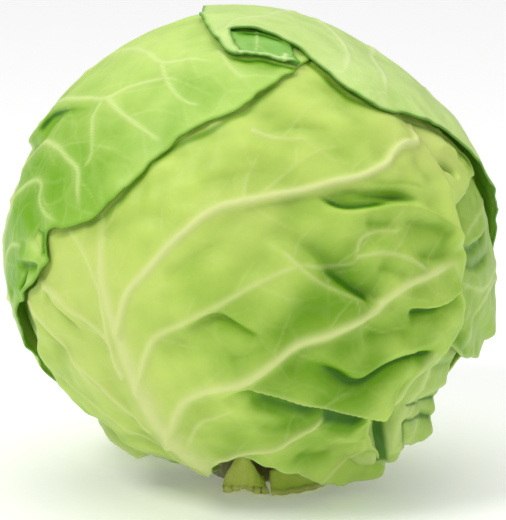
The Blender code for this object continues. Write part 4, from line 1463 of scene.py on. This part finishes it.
def leaves() -> tuple[Leaf, ...]:
    """The loose leaves, from the innermost to the outermost."""
    lower, right, front = Finish.LOWER.value, Finish.RIGHT.value, Finish.FRONT.value
    left, crown, tip = Finish.LEFT.value, Finish.CROWN.value, Finish.TIP.value
    frill, calm = Ruffle(0.5, 18.0, 6.0, 0.2), Ruffle(0.4, 26.0, 6.0, 0.4)
    return (
        Leaf(
            "lower_left_leaf_sheet", "lower_left_leaf", "inner_leaf", lower, (-66, -28), LOWER_LEFT_OUTLINE,
            1.2, LOWER_LEFT_VEINS, LOWER_LEFT_FOLDS, ruffle=frill, seed=11,
        ),
        Leaf(
            "lower_right_leaf_sheet", "lower_right_leaf", "inner_leaf", right, (48, -36), LOWER_RIGHT_OUTLINE,
            2.2, LOWER_RIGHT_VEINS, LOWER_RIGHT_FOLDS, LOWER_RIGHT_WASHES, ruffle=frill, seed=12, spacing=0.7,
            hollow=4.0,
        ),
        Leaf(
            "right_leaf_sheet", "right_leaf", "inner_leaf", right, (104, -4), RIGHT_OUTLINE, 3.4, RIGHT_VEINS,
            RIGHT_FOLDS, seed=13, crumple=0.4,
        ),
        Leaf(
            "front_leaf_sheet", "front_leaf", "front_leaf", front, (0, 10), FRONT_OUTLINE, 4.8, FRONT_VEINS,
            FRONT_FOLDS, FRONT_WASHES, seed=15, base_pale=0.12, spacing=0.84, crumple=0.5, mottle=0.3,
        ),
        Leaf(
            "left_leaf_sheet", "left_leaf", "outer_leaf", left, (-94, 8), LEFT_OUTLINE, 6.3, LEFT_VEINS,
            LEFT_FOLDS, LEFT_WASHES, seed=16, spacing=0.92, ruffle=calm,
        ),
        Leaf(
            "crown_leaf_sheet", "crown_leaf", "outer_leaf", crown, (168, 14), CROWN_OUTLINE, 8.0, CROWN_VEINS,
            seed=17, ruffle=calm,
        ),
        Leaf(
            "crown_tip_sheet", "crown_leaf", "outer_leaf", tip, (4, 65.5), TIP_OUTLINE, 7.5, TIP_VEINS,
            TIP_FOLDS, ruffle=Ruffle(0.3, 9.0, 3.0, 0.2), seed=18, base_pale=0.0, rise=8.0, spacing=0.45,
        ),
    )


# ---------------------------------------------------------------- the studio


@dataclass(frozen=True)
class Studio:
    """The floor, the soft lights and the camera."""

    centre: tuple[float, float, float]
    elevation: float = 12.0
    distance: float = 0.95
    aim: tuple[float, float] = (0.0005, -0.0045)
    lens: float = 181.6
    floor_side: float = 6.0
    surround: float = 0.34
    overhead: float = 1.55
    overhead_spread: float = 75.0
    overhead_lean: tuple[float, float] = (-12.0, 6.0)

    def build(self) -> None:
        """Builds all of it."""
        self.floor()
        self.world()
        self.light("key", (-0.75, -0.70, 1.15), 0.40, 9.5, (1.0, 0.99, 0.96))
        self.light("fill", (1.0, -0.8, 0.7), 0.9, 2.8, (0.97, 1.0, 1.0))
        self.sky_light()
        self.camera()

    def floor(self) -> None:
        """A wide floor under the head, with its far edge out of sight."""
        deselect_all()
        bpy.ops.mesh.primitive_plane_add(size=self.floor_side)
        floor = bpy.context.object
        floor.name = floor.data.name = "studio_floor"
        floor.data.materials.append(FloorFinish().make())

    def world(self) -> None:
        """An even pale surround."""
        world = bpy.data.worlds.new("studio")
        bpy.context.scene.world = world
        world.use_nodes = True
        background = world.node_tree.nodes["Background"]
        background.inputs["Color"].default_value = (1.0, 1.0, 1.0, 1.0)
        background.inputs["Strength"].default_value = self.surround
        bpy.context.scene.view_settings.view_transform = "Standard"

    def sky_light(self) -> None:
        """The broad soft light from overhead, even over the whole floor."""
        lamp = bpy.data.lights.new("overhead", "SUN")
        lamp.energy = self.overhead
        lamp.angle = math.radians(self.overhead_spread)
        holder = bpy.data.objects.new("overhead", lamp)
        holder.rotation_euler = (math.radians(self.overhead_lean[0]), math.radians(self.overhead_lean[1]), 0)
        bpy.context.collection.objects.link(holder)

    def light(
        self, name: str, place: tuple[float, float, float], size: float, power: float, colour: Colour
    ) -> None:
        """One square soft light that faces the head."""
        lamp = bpy.data.lights.new(name, "AREA")
        lamp.size = size
        lamp.energy = power
        lamp.color = colour
        holder = bpy.data.objects.new(name, lamp)
        holder.location = place
        away = np.asarray(place) - np.asarray(self.centre)
        flat = math.hypot(away[0], away[1])
        holder.rotation_euler = (math.atan2(flat, away[2]), 0, math.atan2(away[1], away[0]) + math.pi / 2)
        bpy.context.collection.objects.link(holder)

    def camera(self) -> None:
        """The camera in front of the head, a little above it."""
        tilt = math.radians(self.elevation)
        data = bpy.data.cameras.new("camera")
        data.lens = self.lens
        camera = bpy.data.objects.new("camera", data)
        x, y, z = self.centre
        camera.location = (
            x + self.aim[0],
            y - self.distance * math.cos(tilt) + self.aim[1] * math.sin(tilt),
            z + self.distance * math.sin(tilt) + self.aim[1] * math.cos(tilt),
        )
        camera.rotation_euler = (math.pi / 2 - tilt, 0, 0)
        bpy.context.collection.objects.link(camera)
        bpy.context.scene.camera = camera


def head_form() -> Form:
    """The head's round, from the size of the CAD heart."""
    low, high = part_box("heart")
    level = low.z + (high.z - low.z) * CENTRE_SHARE
    return Form(
        centre=(0.0, 0.0, level),
        half_width=(high.x - low.x) / 2 - SIDE_INSET,
        half_depth=(high.y - low.y) / 2,
        top=high.z - level,
        bottom=level - low.z,
        squareness=2.02,
        dents=HEAD_DENTS,
    )


def main() -> None:
    """Builds the cabbage and its studio."""
    form = head_form()
    Studio(form.centre).build()
    Heart("heart_ball", "heart", "heart", Finish.HEART.value, HEART_FOLDS, HEART_VEINS).build(form)
    Stump("stump_plug", "stump", "stump", Finish.STUMP.value).build()
    flesh = Finish.STUB.value
    Stub(
        "front_stalk_end", "front_stub", "stub", flesh, longitude=-5, span=(0.012, 0.0165),
        reach=(0.0165, 0.0305), top=(0.0034, 0.0160), keel=0.95, seed=21,
    ).build()
    Stub(
        "right_stalk_end", "right_stub", "stub", flesh, longitude=44, span=(0.013, 0.037),
        reach=(0.0165, 0.0330), top=(0.0030, 0.0100), keel=0.35, seed=22,
    ).build()
    for leaf in leaves():
        leaf.build(form)


if __name__ == "__main__":
    logging.basicConfig(level=logging.INFO, format="%(message)s")
    main()
